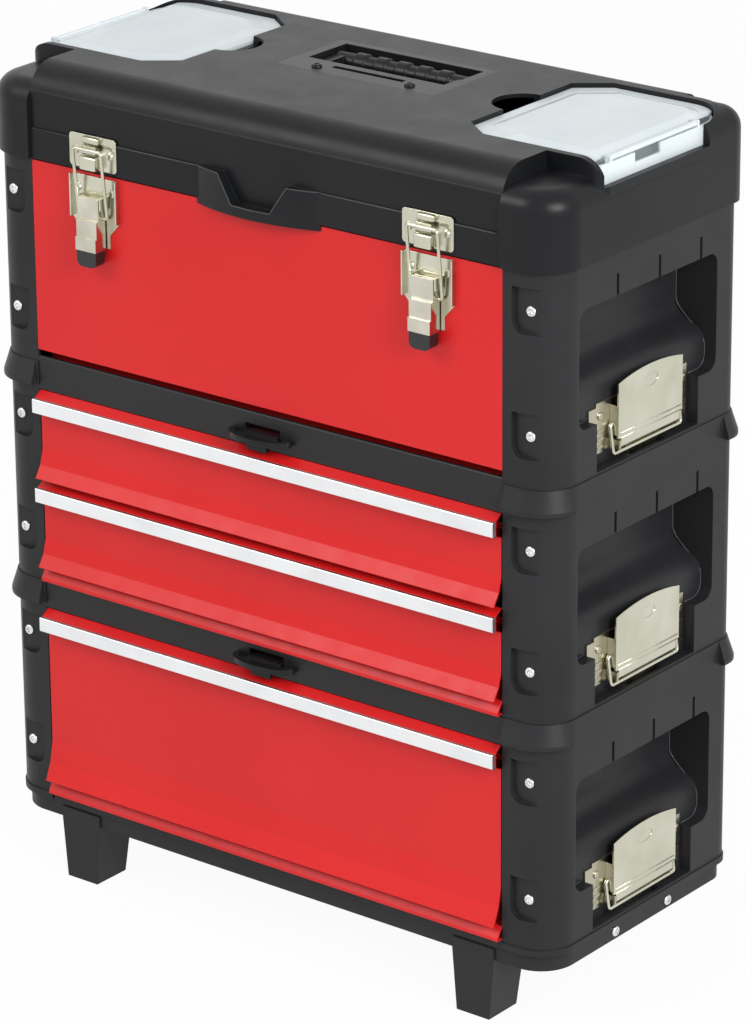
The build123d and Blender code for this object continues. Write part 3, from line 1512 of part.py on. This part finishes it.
def handle_outer_tubes():
    """Fixed tubes of the telescopic handle, tied together at the top."""
    low = foot_height - 4
    outer_section = tube_section(outer_tube_width, outer_tube_depth)
    outer = extrude(Plane.XY.offset(low) * outer_section, outer_tube_top - low)
    bore_width = outer_tube_width - 2 * outer_tube_wall
    bore_depth = outer_tube_depth - 2 * outer_tube_wall
    bore = extrude(Plane.XY.offset(low + 4) * tube_section(bore_width, bore_depth), outer_tube_top)
    tie_half = handle_spacing / 2 + tie_margin
    tie_reach = outer_tube_depth / 2 + outer_tube_wall
    tie_y = (back_y + tube_setback - tie_reach, back_y + tube_setback + tie_reach)
    tie = block((-tie_half, tie_half), tie_y, (outer_tube_top - tie_height, outer_tube_top))
    return outer + flip(outer) + tie - bore - flip(bore)


def handle_inner_tubes():
    """Sliding tubes of the telescopic handle, shown pushed in."""
    low = foot_height + 2
    width = outer_tube_width - 2 * outer_tube_wall - 2 * tube_gap
    depth = outer_tube_depth - 2 * outer_tube_wall - 2 * tube_gap
    high = grip_top - grip_height
    tube = extrude(Plane.XY.offset(low) * tube_section(width, depth), high - low)
    hollow_section = tube_section(width - 2 * inner_tube_wall, depth - 2 * inner_tube_wall)
    hollow = extrude(Plane.XY.offset(low - 1) * hollow_section, high - low - 3)
    return both(tube - hollow)


def handle_grip():
    """Grip across the tops of the sliding tubes."""
    y = back_y + tube_setback
    half = handle_spacing / 2 + grip_end
    grip = block((-half, half), (y - grip_front, y + grip_rear), (grip_top - grip_height, grip_top))
    return fillet(grip.edges().filter_by(Axis.X), grip_round)


def rivets_on_tray():
    """Rivets along the right and left rims of the tray."""
    heads = []
    z = foot_height + tray_height / 2
    for index in range(tray_rivet_count):
        y = -tray_rivet_setback + index * tray_rivet_spacing
        heads.append(screw_head((half_width - tray_inset, y, z), (1, 0, 0)))
    return both(group(*heads))


def build():
    """All nodes of the tool box, by name."""
    nodes = {}
    nodes["base_tray"] = base_tray()
    nodes["front_feet"] = front_feet()
    nodes["base_fittings"] = group(rivets_on_tray(), strikes(tray_top, bottom_seam))
    nodes["axle_bracket"] = axle_bracket()
    nodes["wheel_axle"] = axle()
    nodes["handle_outer_tubes"] = handle_outer_tubes()
    nodes["handle_inner_tubes"] = handle_inner_tubes()
    nodes["handle_grip"] = handle_grip()
    nodes["wheel_rim_right"] = wheel_rim()
    nodes["wheel_rim_left"] = flip(wheel_rim())
    nodes["tyre_right"] = tyre()
    nodes["tyre_left"] = flip(tyre())
    modules = (
        ("bottom", bottom_seam, tray_top),
        ("middle", middle_seam, middle_seam),
        ("top", top_seam, top_seam),
    )
    for name, seam, low in modules:
        panel = side_panel(seam, low, name != "bottom", name != "top")
        nodes[name + "_side_panels"] = both(panel)
        fittings = [module_screws(seam), both(latch_bracket(seam))]
        if name != "top":
            fittings.append(strikes(seam + module_height, seam + module_height))
        nodes[name + "_fittings"] = group(*fittings)
        lever = side_lever(seam)
        bail = side_bail(seam)
        nodes[name + "_lever_right"] = lever
        nodes[name + "_lever_left"] = flip(lever)
        nodes[name + "_bail_right"] = bail
        nodes[name + "_bail_left"] = flip(bail)
    for name, seam, low, drawers, rise in (
        ("bottom", bottom_seam, tray_top, 1, rail_rise_bottom),
        ("middle", middle_seam, middle_seam, 2, rail_rise_middle),
    ):
        top = seam + module_height
        nodes[name + "_case"] = drawer_case(seam, low)
        nodes[name + "_slide_channels"] = slide_channels(seam, drawers)
        nodes[name + "_front_rail"] = front_rail(top, rise)
        nodes[name + "_thumb_catch"] = thumb_catch(top)
    middle_top = top_seam - drawer_top_drop
    upper_low = middle_top - drawer_pitch + drawer_gap
    lower_top = middle_top - drawer_pitch
    lower_low = middle_seam + sill_top + drawer_gap
    deep_top = middle_seam - drawer_top_drop
    deep_low = bottom_seam + sill_top + drawer_gap
    nodes["upper_drawer"] = drawer(middle_top, upper_low + drawer_gap, flare_height)
    nodes["upper_drawer_pull"] = drawer_pull(middle_top)
    nodes["lower_drawer"] = drawer(lower_top, lower_low, flare_height)
    nodes["lower_drawer_pull"] = drawer_pull(lower_top)
    nodes["deep_drawer"] = drawer(deep_top, deep_low, deep_flare_height)
    nodes["deep_drawer_pull"] = drawer_pull(deep_top)
    nodes["open_box"] = open_box()
    nodes["tote_tray"] = tote_tray()
    nodes["box_hinge"] = body_hinge()
    right_x = draw_latch_x
    nodes["draw_latch_bases"] = group(draw_latch_base(right_x), draw_latch_base(-right_x))
    for side, x in (("right", right_x), ("left", -right_x)):
        nodes["draw_lever_" + side] = group(draw_lever(x), draw_tip(x))
        nodes["draw_bail_" + side] = draw_bail(x)
    nodes["lid"] = lid() - hinge_relief()
    nodes["lid_hinge"] = lid_hinge()
    nodes["keepers"] = group(keeper(right_x), keeper(-right_x))
    nodes["handle_frame"] = handle_frame()
    nodes["carry_handle"] = carry_handle()
    nodes["organizer_boxes"] = both(organizer_box())
    cover = organizer_cover()
    nodes["organizer_cover_right"] = cover
    nodes["organizer_cover_left"] = flip(cover)
    return nodes


os.makedirs("parts", exist_ok=True)
for node_name, node_shape in build().items():
    export_step(Pos(0, frame_shift, 0) * node_shape, "parts/" + node_name + ".step")
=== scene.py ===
from math import cos, radians, sin

import bmesh
import bpy
from mathutils import Matrix, Vector


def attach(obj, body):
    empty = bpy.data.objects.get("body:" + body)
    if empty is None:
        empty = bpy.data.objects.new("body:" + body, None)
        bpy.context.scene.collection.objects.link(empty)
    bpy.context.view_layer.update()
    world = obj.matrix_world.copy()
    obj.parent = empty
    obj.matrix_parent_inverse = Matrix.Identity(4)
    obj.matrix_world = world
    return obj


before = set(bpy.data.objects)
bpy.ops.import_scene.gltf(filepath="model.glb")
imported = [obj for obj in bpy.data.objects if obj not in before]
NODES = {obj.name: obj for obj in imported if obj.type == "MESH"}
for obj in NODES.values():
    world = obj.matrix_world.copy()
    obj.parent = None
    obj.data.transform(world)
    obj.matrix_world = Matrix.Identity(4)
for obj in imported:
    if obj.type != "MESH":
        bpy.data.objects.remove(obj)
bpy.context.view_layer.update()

# Limits of the position-based colours, in metres in the row frame
DRAW_TIP_TOP = 0.5139
BRACKET_NEAR_X = 0.2405

# Places taken from the part's source, in millimetres from the middle of the boxes
FRAME_SHIFT_Y = -45.25
SEAMS = {"bottom": 48.0, "middle": 222.0, "top": 396.0}
LID_SEAM = 570.0
DRAW_LATCH_X = 151.0

# Moulding seams in the side recesses, in millimetres; heights count from the module's seam
RECESS_DEEP_X = 220.4
RECESS_SHALLOW_X = 245.4
RECESS_END_Y = 82.0
RECESS_TOP_Z = (132.0, 118.0)
RAMP_HIGH_Z = 102.5
RAMP_LOW_Z = 71.5
RAMP_STEPS = 12
RECESS_CORNER = 9.0
CORNER_LOW_Z = 65.0
BAY_END = (61.5, 56.0)
SEAM_RADIUS = 0.55

# Bead along the lid's front band and round the finger scoop, in millimetres
BAND_RISE = 23.4
BAND_Y = -114.0
BAND_REACH = 210.0
SCOOP_HALF = 56.0
SCOOP_STEP = 5.0
SCOOP_Y = -113.0
SCOOP_PROUD = 10.0
SCOOP_POINTS = ((24.0, -121.2, 13.0), (17.5, -122.0, 2.9), (0.0, -122.9, 2.7))
BAND_RADIUS = 0.5

# Sides of every bead, and the direction that its rings are turned by
BEAD_SIDES = 8
BEAD_UP = Vector((0.31, 0.52, 0.79))

# Raised caps of the draw latch keepers, in millimetres: Y span, Z span over the lid's seam, bevel
CAP_HALF = 7.5
CAPS = (((-122.5, -115.1), (3.5, 14.0), 1.6), ((-119.0, -115.1), (22.6, 27.5), 1.2))

# Folds along the lower edge of the side latch levers, in millimetres
FOLD_X = 254.0
FOLD_Y = (-32.0, 41.0)
FOLD_RISES = (36.6, 40.2)
FOLD_RADIUS = 0.5

# Camera of the photograph, in metres
VIEW_YAW = radians(38.70)
VIEW_PITCH = radians(20.81)
VIEW_ROLL = radians(-0.66)
VIEW_TARGET = Vector((-0.0243, -0.04525, 0.3226))
VIEW_DISTANCE = 3.6052
VIEW_LENS = 236.45
VIEW_SHIFT = (0.0499, -0.0321)

# Studio
FLOOR_HALF = 12
FLOOR_WHITE_SHARE = 0.95
WORLD_LIGHT = 0.55
LAMP_TARGET = Vector((0, 0, 0.35))


# Materials

def new_material(name):
    """An empty node material with its output and principled shader."""
    material = bpy.data.materials.new(name)
    material.use_nodes = True
    tree = material.node_tree
    shader = tree.nodes["Principled BSDF"]
    return material, tree, shader


def object_noise(tree, scale, detail=2.0, stretch=(1, 1, 1)):
    """Noise on object coordinates; scale counts features per metre."""
    coordinates = tree.nodes.new("ShaderNodeTexCoord")
    mapping = tree.nodes.new("ShaderNodeMapping")
    mapping.inputs["Scale"].default_value = stretch
    noise = tree.nodes.new("ShaderNodeTexNoise")
    noise.inputs["Scale"].default_value = scale
    noise.inputs["Detail"].default_value = detail
    tree.links.new(coordinates.outputs["Object"], mapping.inputs["Vector"])
    tree.links.new(mapping.outputs["Vector"], noise.inputs["Vector"])
    return noise.outputs["Fac"]


def ranged(tree, value, low, high, from_low=0.3, from_high=0.7):
    """A value stretched from one range to another."""
    node = tree.nodes.new("ShaderNodeMapRange")
    node.inputs["From Min"].default_value = from_low
    node.inputs["From Max"].default_value = from_high
    node.inputs["To Min"].default_value = low
    node.inputs["To Max"].default_value = high
    tree.links.new(value, node.inputs["Value"])
    return node.outputs["Result"]


def two_tone(tree, value, dark, light):
    """A colour that runs from dark to light with the value."""
    ramp = tree.nodes.new("ShaderNodeValToRGB")
    ramp.color_ramp.elements[0].position = 0.3
    ramp.color_ramp.elements[1].position = 0.7
    ramp.color_ramp.elements[0].color = (*dark, 1)
    ramp.color_ramp.elements[1].color = (*light, 1)
    tree.links.new(value, ramp.inputs["Fac"])
    return ramp.outputs["Color"]


def surface_relief(tree, shader, value, strength, distance, soft_edge=0.0006):
    """Bump from the value over slightly rounded edges."""
    edge = tree.nodes.new("ShaderNodeBevel")
    edge.samples = 4
    edge.inputs["Radius"].default_value = soft_edge
    bump = tree.nodes.new("ShaderNodeBump")
    bump.inputs["Strength"].default_value = strength
    bump.inputs["Distance"].default_value = distance
    tree.links.new(value, bump.inputs["Height"])
    tree.links.new(edge.outputs["Normal"], bump.inputs["Normal"])
    tree.links.new(bump.outputs["Normal"], shader.inputs["Normal"])


def grained_plastic(name, dark, light, rough_low, rough_high, grain=0.25, specular=0.2):
    """Moulded black plastic with a fine leather-like grain."""
    material, tree, shader = new_material(name)
    tree.links.new(two_tone(tree, object_noise(tree, 9, 3), dark, light), shader.inputs["Base Color"])
    tree.links.new(ranged(tree, object_noise(tree, 35, 4), rough_low, rough_high), shader.inputs["Roughness"])
    shader.inputs["Specular IOR Level"].default_value = specular
    surface_relief(tree, shader, object_noise(tree, 1600, 3), grain, 0.00025)
    return material


def powder_coat(name, dark, light, roughness):
    """Powder-coated sheet steel with a faint orange peel."""
    material, tree, shader = new_material(name)
    tree.links.new(two_tone(tree, object_noise(tree, 5, 2), dark, light), shader.inputs["Base Color"])
    patchy = ranged(tree, object_noise(tree, 60, 4), roughness - 0.04, roughness + 0.06)
    tree.links.new(patchy, shader.inputs["Roughness"])
    shader.inputs["Specular IOR Level"].default_value = 0.3
    surface_relief(tree, shader, object_noise(tree, 260, 1), 0.05, 0.0001, 0.0008)
    return material


def plated_metal(name, dark, light, rough_low, rough_high, stretch=(1, 1, 1), scale=60):
    """Plated or brushed metal with a cloudy reflection."""
    material, tree, shader = new_material(name)
    shader.inputs["Metallic"].default_value = 1.0
    tree.links.new(two_tone(tree, object_noise(tree, 30, 3), dark, light), shader.inputs["Base Color"])
    brushed = object_noise(tree, scale, 4, stretch)
    tree.links.new(ranged(tree, brushed, rough_low, rough_high), shader.inputs["Roughness"])
    surface_relief(tree, shader, brushed, 0.05, 0.0002, 0.0005)
    return material


def object_axis(tree, axis):
    """One object coordinate in metres."""
    coordinates = tree.nodes.new("ShaderNodeTexCoord")
    split = tree.nodes.new("ShaderNodeSeparateXYZ")
    tree.links.new(coordinates.outputs["Object"], split.inputs["Vector"])
    return split.outputs[axis]


def above_limit(tree, value, limit):
    """One where the value is above the limit, and zero elsewhere."""
    above = tree.nodes.new("ShaderNodeMath")
    above.operation = "GREATER_THAN"
    above.inputs[1].default_value = limit
    tree.links.new(value, above.inputs[0])
    return above.outputs[0]


def mix_base(tree, shader, share, plain, plain_socket, kept_socket):
    """Mixes the shader's base colour with a plain one by the share."""
    kept = shader.inputs["Base Color"].links[0].from_socket
    mix = tree.nodes.new("ShaderNodeMixRGB")
    mix.inputs[plain_socket].default_value = (*plain, 1)
    tree.links.new(share, mix.inputs["Fac"])
    tree.links.new(kept, mix.inputs[kept_socket])
    tree.links.new(mix.outputs["Color"], shader.inputs["Base Color"])


def tipped_lever(name, dark, light, rough_low, rough_high):
    """Nickel plate above the height where the black plastic tip of the draw lever begins."""
    material = plated_metal(name, dark, light, rough_low, rough_high)
    tree = material.node_tree
    shader = tree.nodes["Principled BSDF"]
    plated = above_limit(tree, object_axis(tree, "Z"), DRAW_TIP_TOP)
    tree.links.new(plated, shader.inputs["Metallic"])
    mix_base(tree, shader, plated, (0.010, 0.010, 0.011), "Color1", "Color2")
    return material


def bracket_and_screws(name, dark, light, rough_low, rough_high):
    """Zinc screws, and a warmer nickel on the latch brackets near the outer faces."""
    material = plated_metal(name, dark, light, rough_low, rough_high)
    tree = material.node_tree
    shader = tree.nodes["Principled BSDF"]
    outward = tree.nodes.new("ShaderNodeMath")
    outward.operation = "ABSOLUTE"
    tree.links.new(object_axis(tree, "X"), outward.inputs[0])
    near = above_limit(tree, outward.outputs[0], BRACKET_NEAR_X)
    mix_base(tree, shader, near, (0.50, 0.47, 0.36), "Color2", "Color1")
    return material


def milky_cover(name):
    """Translucent milky plastic of the organizer covers."""
    material, tree, shader = new_material(name)
    cloud = object_noise(tree, 14, 3)
    tree.links.new(two_tone(tree, cloud, (0.80, 0.87, 0.90), (0.90, 0.95, 0.97)), shader.inputs["Base Color"])
    tree.links.new(ranged(tree, object_noise(tree, 90, 3), 0.16, 0.26), shader.inputs["Roughness"])
    shader.inputs["Transmission Weight"].default_value = 0.25
    shader.inputs["IOR"].default_value = 1.45
    shader.inputs["Alpha"].default_value = 0.82
    surface_relief(tree, shader, object_noise(tree, 500, 2), 0.08, 0.0002)
    return material


def tyre_rubber(name):
    """Dull black rubber."""
    material, tree, shader = new_material(name)
    tree.links.new(
        two_tone(tree, object_noise(tree, 20, 3), (0.012, 0.012, 0.012), (0.022, 0.022, 0.022)),
        shader.inputs["Base Color"],
    )
    tree.links.new(ranged(tree, object_noise(tree, 150, 3), 0.65, 0.82), shader.inputs["Roughness"])
    surface_relief(tree, shader, object_noise(tree, 900, 2), 0.3, 0.0003)
    return material


BLACK = grained_plastic("moulded_black_plastic", (0.014, 0.0145, 0.0155), (0.020, 0.0205, 0.022), 0.38, 0.48)
LID_BLACK = grained_plastic(
    "lid_black_plastic", (0.006, 0.0065, 0.0075), (0.010, 0.0105, 0.0115), 0.30, 0.38, grain=0.15, specular=0.19
)
GLOSS_BLACK = grained_plastic("handle_black_plastic", (0.007, 0.007, 0.008), (0.012, 0.012, 0.013), 0.22, 0.30, 0.06)
RAIL_BLACK = powder_coat("rail_black_paint", (0.008, 0.008, 0.009), (0.013, 0.013, 0.014), 0.36)
RED = powder_coat("red_powder_coat", (0.56, 0.008, 0.009), (0.61, 0.012, 0.013), 0.34)
# Dark grey, lighter than the black plastic: a painted highlight on the thin beads along seams and edges
HIGHLIGHT_BEAD_PLASTIC = grained_plastic("painted_highlight_bead_plastic", (0.045, 0.047, 0.050), (0.060, 0.062, 0.066), 0.22, 0.30, 0.03)
NICKEL = plated_metal("nickel_plate", (0.55, 0.54, 0.43), (0.66, 0.65, 0.54), 0.16, 0.28)
LATCH_NICKEL = tipped_lever("nickel_with_black_tip", (0.50, 0.47, 0.38), (0.70, 0.67, 0.58), 0.12, 0.24)
ZINC = plated_metal("zinc_plate", (0.66, 0.67, 0.68), (0.78, 0.79, 0.80), 0.24, 0.36)
FITTING = bracket_and_screws("zinc_screws_brassy_brackets", (0.68, 0.69, 0.70), (0.80, 0.81, 0.82), 0.22, 0.34)
ALUMINIUM = plated_metal("brushed_aluminium", (0.80, 0.81, 0.82), (0.88, 0.89, 0.90), 0.30, 0.42, (0.05, 1, 1), 900)
COVER = milky_cover("milky_cover")
TYRE = tyre_rubber("tyre_rubber")

FINISHES = {
    BLACK: ["base_tray", "front_feet", "bottom_side_panels", "middle_side_panels", "top_side_panels", "tote_tray",
            "wheel_rim_left", "wheel_rim_right"],
    LID_BLACK: ["lid"],
    GLOSS_BLACK: ["handle_frame", "carry_handle", "handle_grip", "bottom_thumb_catch", "middle_thumb_catch"],
    RAIL_BLACK: ["bottom_front_rail", "middle_front_rail", "axle_bracket", "handle_outer_tubes"],
    RED: ["bottom_case", "middle_case", "open_box", "deep_drawer", "upper_drawer", "lower_drawer"],
    ALUMINIUM: ["deep_drawer_pull", "upper_drawer_pull", "lower_drawer_pull"],
    LATCH_NICKEL: ["draw_lever_left", "draw_lever_right"],
    NICKEL: ["draw_latch_bases", "draw_bail_left", "draw_bail_right", "keepers"]
    + [f"{box}_{piece}_{side}" for box in SEAMS for piece in ("lever", "bail") for side in ("left", "right")],
    FITTING: ["bottom_fittings", "middle_fittings", "top_fittings"],
    ZINC: ["base_fittings", "bottom_slide_channels", "middle_slide_channels", "box_hinge", "lid_hinge", "wheel_axle",
           "handle_inner_tubes"],
    COVER: ["organizer_cover_left", "organizer_cover_right", "organizer_boxes"],
    TYRE: ["tyre_left", "tyre_right"],
}


def finish_nodes():
    """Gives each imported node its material."""
    for material, names in FINISHES.items():
        for name in names:
            node = NODES[name]
            node.data.materials.clear()
            node.data.materials.append(material)


finish_nodes()


# Added pieces

def place(x, y, z):
    """A point in metres from millimetres about the middle of the boxes."""
    return Vector((x, y + FRAME_SHIFT_Y, z)) / 1000


def new_piece(name, shape, material, body):
    """Turns a bmesh into an object that rides on a body, with its material slot."""
    mesh = bpy.data.meshes.new(name)
    bmesh.ops.recalc_face_normals(shape, faces=shape.faces)
    shape.to_mesh(mesh)
    shape.free()
    for polygon in mesh.polygons:
        polygon.use_smooth = True
    piece = bpy.data.objects.new(name, mesh)
    piece.data.materials.append(material)
    bpy.context.scene.collection.objects.link(piece)
    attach(piece, body)


def bead(shape, points, radius):
    """A round bead along a path of points in millimetres."""
    path = [place(*point) for point in points]
    last = len(path) - 1
    rings = []
    for index, point in enumerate(path):
        run = (path[min(index + 1, last)] - path[max(index - 1, 0)]).normalized()
        across = run.cross(BEAD_UP).normalized()
        turn = Matrix((across, run.cross(across), run)).transposed().to_4x4()
        made = bmesh.ops.create_circle(
            shape,
            cap_ends=index in (0, last),
            segments=BEAD_SIDES,
            radius=radius / 1000,
            matrix=Matrix.Translation(point) @ turn,
        )
        rings.append(list({edge for vert in made["verts"] for edge in vert.link_edges}))
    for first, second in zip(rings, rings[1:]):
        bmesh.ops.bridge_loops(shape, edges=first + second)


def rounded_block(shape, x_span, y_span, z_span, bevel):
    """A block with bevelled edges between three pairs of limits in millimetres."""
    low = place(x_span[0], y_span[0], z_span[0])
    high = place(x_span[1], y_span[1], z_span[1])
    size = high - low
    scale = Matrix.Diagonal((size.x, size.y, size.z, 1))
    made = bmesh.ops.create_cube(shape, size=1, matrix=Matrix.Translation((low + high) / 2) @ scale)
    edges = list({edge for vert in made["verts"] for edge in vert.link_edges})
    bmesh.ops.bevel(shape, geom=edges, offset=bevel / 1000, segments=3, affect="EDGES", profile=0.5)


def recess_seam_path(seam, side, end):
    """Path of the moulding seam where the recess floor meets its front or rear wall."""
    depth = RECESS_SHALLOW_X - RECESS_DEEP_X
    drop = RAMP_HIGH_Z - RAMP_LOW_Z
    path = [(RECESS_DEEP_X * side, RECESS_END_Y * end, seam + z) for z in (*RECESS_TOP_Z, RAMP_HIGH_Z)]
    for step in range(1, RAMP_STEPS):
        share = step / RAMP_STEPS
        blend = share * share * (3 - 2 * share)
        path.append(((RECESS_DEEP_X + depth * blend) * side, RECESS_END_Y * end, seam + RAMP_HIGH_Z - drop * share))
    path.append((RECESS_SHALLOW_X * side, RECESS_END_Y * end, seam + RAMP_LOW_Z))
    corner_y = RECESS_END_Y - RECESS_CORNER
    for step in range(7):
        angle = radians(15 * step)
        y = corner_y + RECESS_CORNER * cos(angle)
        path.append((RECESS_SHALLOW_X * side, y * end, seam + CORNER_LOW_Z - RECESS_CORNER * sin(angle)))
    path.append((RECESS_SHALLOW_X * side, BAY_END[0] * end, seam + BAY_END[1]))
    return path


def recess_seam_highlight_beads():
    """Thin ridges along the seams in the side recesses of all boxes, coloured lighter as a painted highlight."""
    for name, seam in SEAMS.items():
        shape = bmesh.new()
        for side in (-1, 1):
            for end in (-1, 1):
                bead(shape, recess_seam_path(seam, side, end), SEAM_RADIUS)
        new_piece(name + "_recess_seam_highlights", shape, HIGHLIGHT_BEAD_PLASTIC, name + "_box")


def lid_band_highlight_bead():
    """Bead along the top of the lid's front band and round the finger scoop, coloured lighter as a painted highlight
    on the band's edge.
    """
    shape = bmesh.new()
    band_z = LID_SEAM + BAND_RISE
    right = [(BAND_REACH, BAND_Y, band_z), (SCOOP_HALF + 1, BAND_Y, band_z)]
    for step in range(6):
        x = SCOOP_HALF - SCOOP_STEP * step
        right.append((x, SCOOP_Y - SCOOP_PROUD * (1 - (x / SCOOP_HALF) ** 2), band_z))
    right += [(x, y, LID_SEAM + rise) for x, y, rise in SCOOP_POINTS]
    left = [(-x, y, z) for x, y, z in reversed(right[:-1])]
    bead(shape, right + left, BAND_RADIUS)
    new_piece("lid_band_highlight_bead", shape, HIGHLIGHT_BEAD_PLASTIC, "lid")


def keeper_caps():
    """Raised caps in the middle of the draw latch keepers, above and below the hook."""
    for side, name in ((1, "right"), (-1, "left")):
        x = DRAW_LATCH_X * side
        shape = bmesh.new()
        for y_span, (low_rise, high_rise), bevel in CAPS:
            z_span = (LID_SEAM + low_rise, LID_SEAM + high_rise)
            rounded_block(shape, (x - CAP_HALF, x + CAP_HALF), y_span, z_span, bevel)
        new_piece("keeper_cap_" + name, shape, NICKEL, "lid")


def lever_folds():
    """Folded ridges along the lower edge of each side latch lever."""
    for name, seam in SEAMS.items():
        for side, word in ((1, "right"), (-1, "left")):
            shape = bmesh.new()
            for rise in FOLD_RISES:
                bead(shape, [(FOLD_X * side, y, seam + rise) for y in FOLD_Y], FOLD_RADIUS)
            lever = name + "_lever_" + word
            new_piece(name + "_lever_folds_" + word, shape, NICKEL, lever)


recess_seam_highlight_beads()
lid_band_highlight_bead()
keeper_caps()
lever_folds()


# Studio

def studio_floor():
    """Pale floor that keeps a soft shadow and shows white to the camera."""
    mesh = bpy.data.meshes.new("floor")
    shape = bmesh.new()
    bmesh.ops.create_grid(shape, x_segments=1, y_segments=1, size=FLOOR_HALF)
    shape.to_mesh(mesh)
    shape.free()
    floor = bpy.data.objects.new("floor", mesh)
    bpy.context.scene.collection.objects.link(floor)
    material, tree, shader = new_material("pale_floor")
    shader.inputs["Base Color"].default_value = (0.86, 0.86, 0.86, 1)
    shader.inputs["Roughness"].default_value = 0.7
    output = tree.nodes["Material Output"]
    paths = tree.nodes.new("ShaderNodeLightPath")
    seen = seen_rays(tree, paths)
    white = tree.nodes.new("ShaderNodeEmission")
    white.inputs["Strength"].default_value = 1.0
    share = tree.nodes.new("ShaderNodeMath")
    share.operation = "MULTIPLY"
    share.inputs[1].default_value = FLOOR_WHITE_SHARE
    tree.links.new(seen, share.inputs[0])
    mix = tree.nodes.new("ShaderNodeMixShader")
    tree.links.new(share.outputs[0], mix.inputs["Fac"])
    tree.links.new(shader.outputs["BSDF"], mix.inputs[1])
    tree.links.new(white.outputs["Emission"], mix.inputs[2])
    tree.links.new(mix.outputs["Shader"], output.inputs["Surface"])
    floor.data.materials.append(material)


def seen_rays(tree, paths):
    """One for rays that show the background: camera, glossy and transmission."""
    total = paths.outputs["Is Camera Ray"]
    for name in ("Is Glossy Ray", "Is Transmission Ray"):
        add = tree.nodes.new("ShaderNodeMath")
        add.operation = "MAXIMUM"
        tree.links.new(total, add.inputs[0])
        tree.links.new(paths.outputs[name], add.inputs[1])
        total = add.outputs[0]
    return total


def studio_world():
    """White surroundings to the eye, a plain soft light on the object."""
    world = bpy.data.worlds.new("studio")
    bpy.context.scene.world = world
    world.use_nodes = True
    tree = world.node_tree
    tree.nodes.clear()
    output = tree.nodes.new("ShaderNodeOutputWorld")
    paths = tree.nodes.new("ShaderNodeLightPath")
    seen = seen_rays(tree, paths)
    light = tree.nodes.new("ShaderNodeBackground")
    light.inputs["Color"].default_value = (1, 1, 1, 1)
    light.inputs["Strength"].default_value = WORLD_LIGHT
    white = tree.nodes.new("ShaderNodeBackground")
    white.inputs["Color"].default_value = (1, 1, 1, 1)
    white.inputs["Strength"].default_value = 1.0
    mix = tree.nodes.new("ShaderNodeMixShader")
    tree.links.new(seen, mix.inputs["Fac"])
    tree.links.new(light.outputs["Background"], mix.inputs[1])
    tree.links.new(white.outputs["Background"], mix.inputs[2])
    tree.links.new(mix.outputs["Shader"], output.inputs["Surface"])


def soft_lamp(name, spot, size, power):
    """A large square lamp aimed at the middle of the box."""
    lamp = bpy.data.lights.new(name, "AREA")
    lamp.size = size
    lamp.energy = power
    holder = bpy.data.objects.new(name, lamp)
    bpy.context.scene.collection.objects.link(holder)
    aim = LAMP_TARGET - Vector(spot)
    holder.matrix_world = Matrix.Translation(spot) @ aim.to_track_quat("-Z", "Y").to_matrix().to_4x4()


def photo_camera():
    """The camera of the photograph."""
    forward = Vector((-sin(VIEW_YAW) * cos(VIEW_PITCH), cos(VIEW_YAW) * cos(VIEW_PITCH), -sin(VIEW_PITCH)))
    level = Vector((cos(VIEW_YAW), sin(VIEW_YAW), 0))
    upright = level.cross(forward)
    right = cos(VIEW_ROLL) * level + sin(VIEW_ROLL) * upright
    up = -sin(VIEW_ROLL) * level + cos(VIEW_ROLL) * upright
    camera = bpy.data.cameras.new("photo_camera")
    camera.sensor_fit = "HORIZONTAL"
    camera.sensor_width = 36
    camera.lens = VIEW_LENS
    camera.shift_x, camera.shift_y = VIEW_SHIFT
    camera.clip_end = 50
    holder = bpy.data.objects.new("photo_camera", camera)
    bpy.context.scene.collection.objects.link(holder)
    spot = VIEW_TARGET - forward * VIEW_DISTANCE
    turn = Matrix((right, up, -forward)).transposed().to_4x4()
    holder.matrix_world = Matrix.Translation(spot) @ turn
    bpy.context.scene.camera = holder


studio_floor()
studio_world()
soft_lamp("key_lamp", (-1.6, -2.6, 2.6), 1.6, 50)
soft_lamp("side_lamp", (2.8, -1.0, 1.8), 1.4, 84)
photo_camera()
bpy.context.scene.view_settings.view_transform = "Standard"
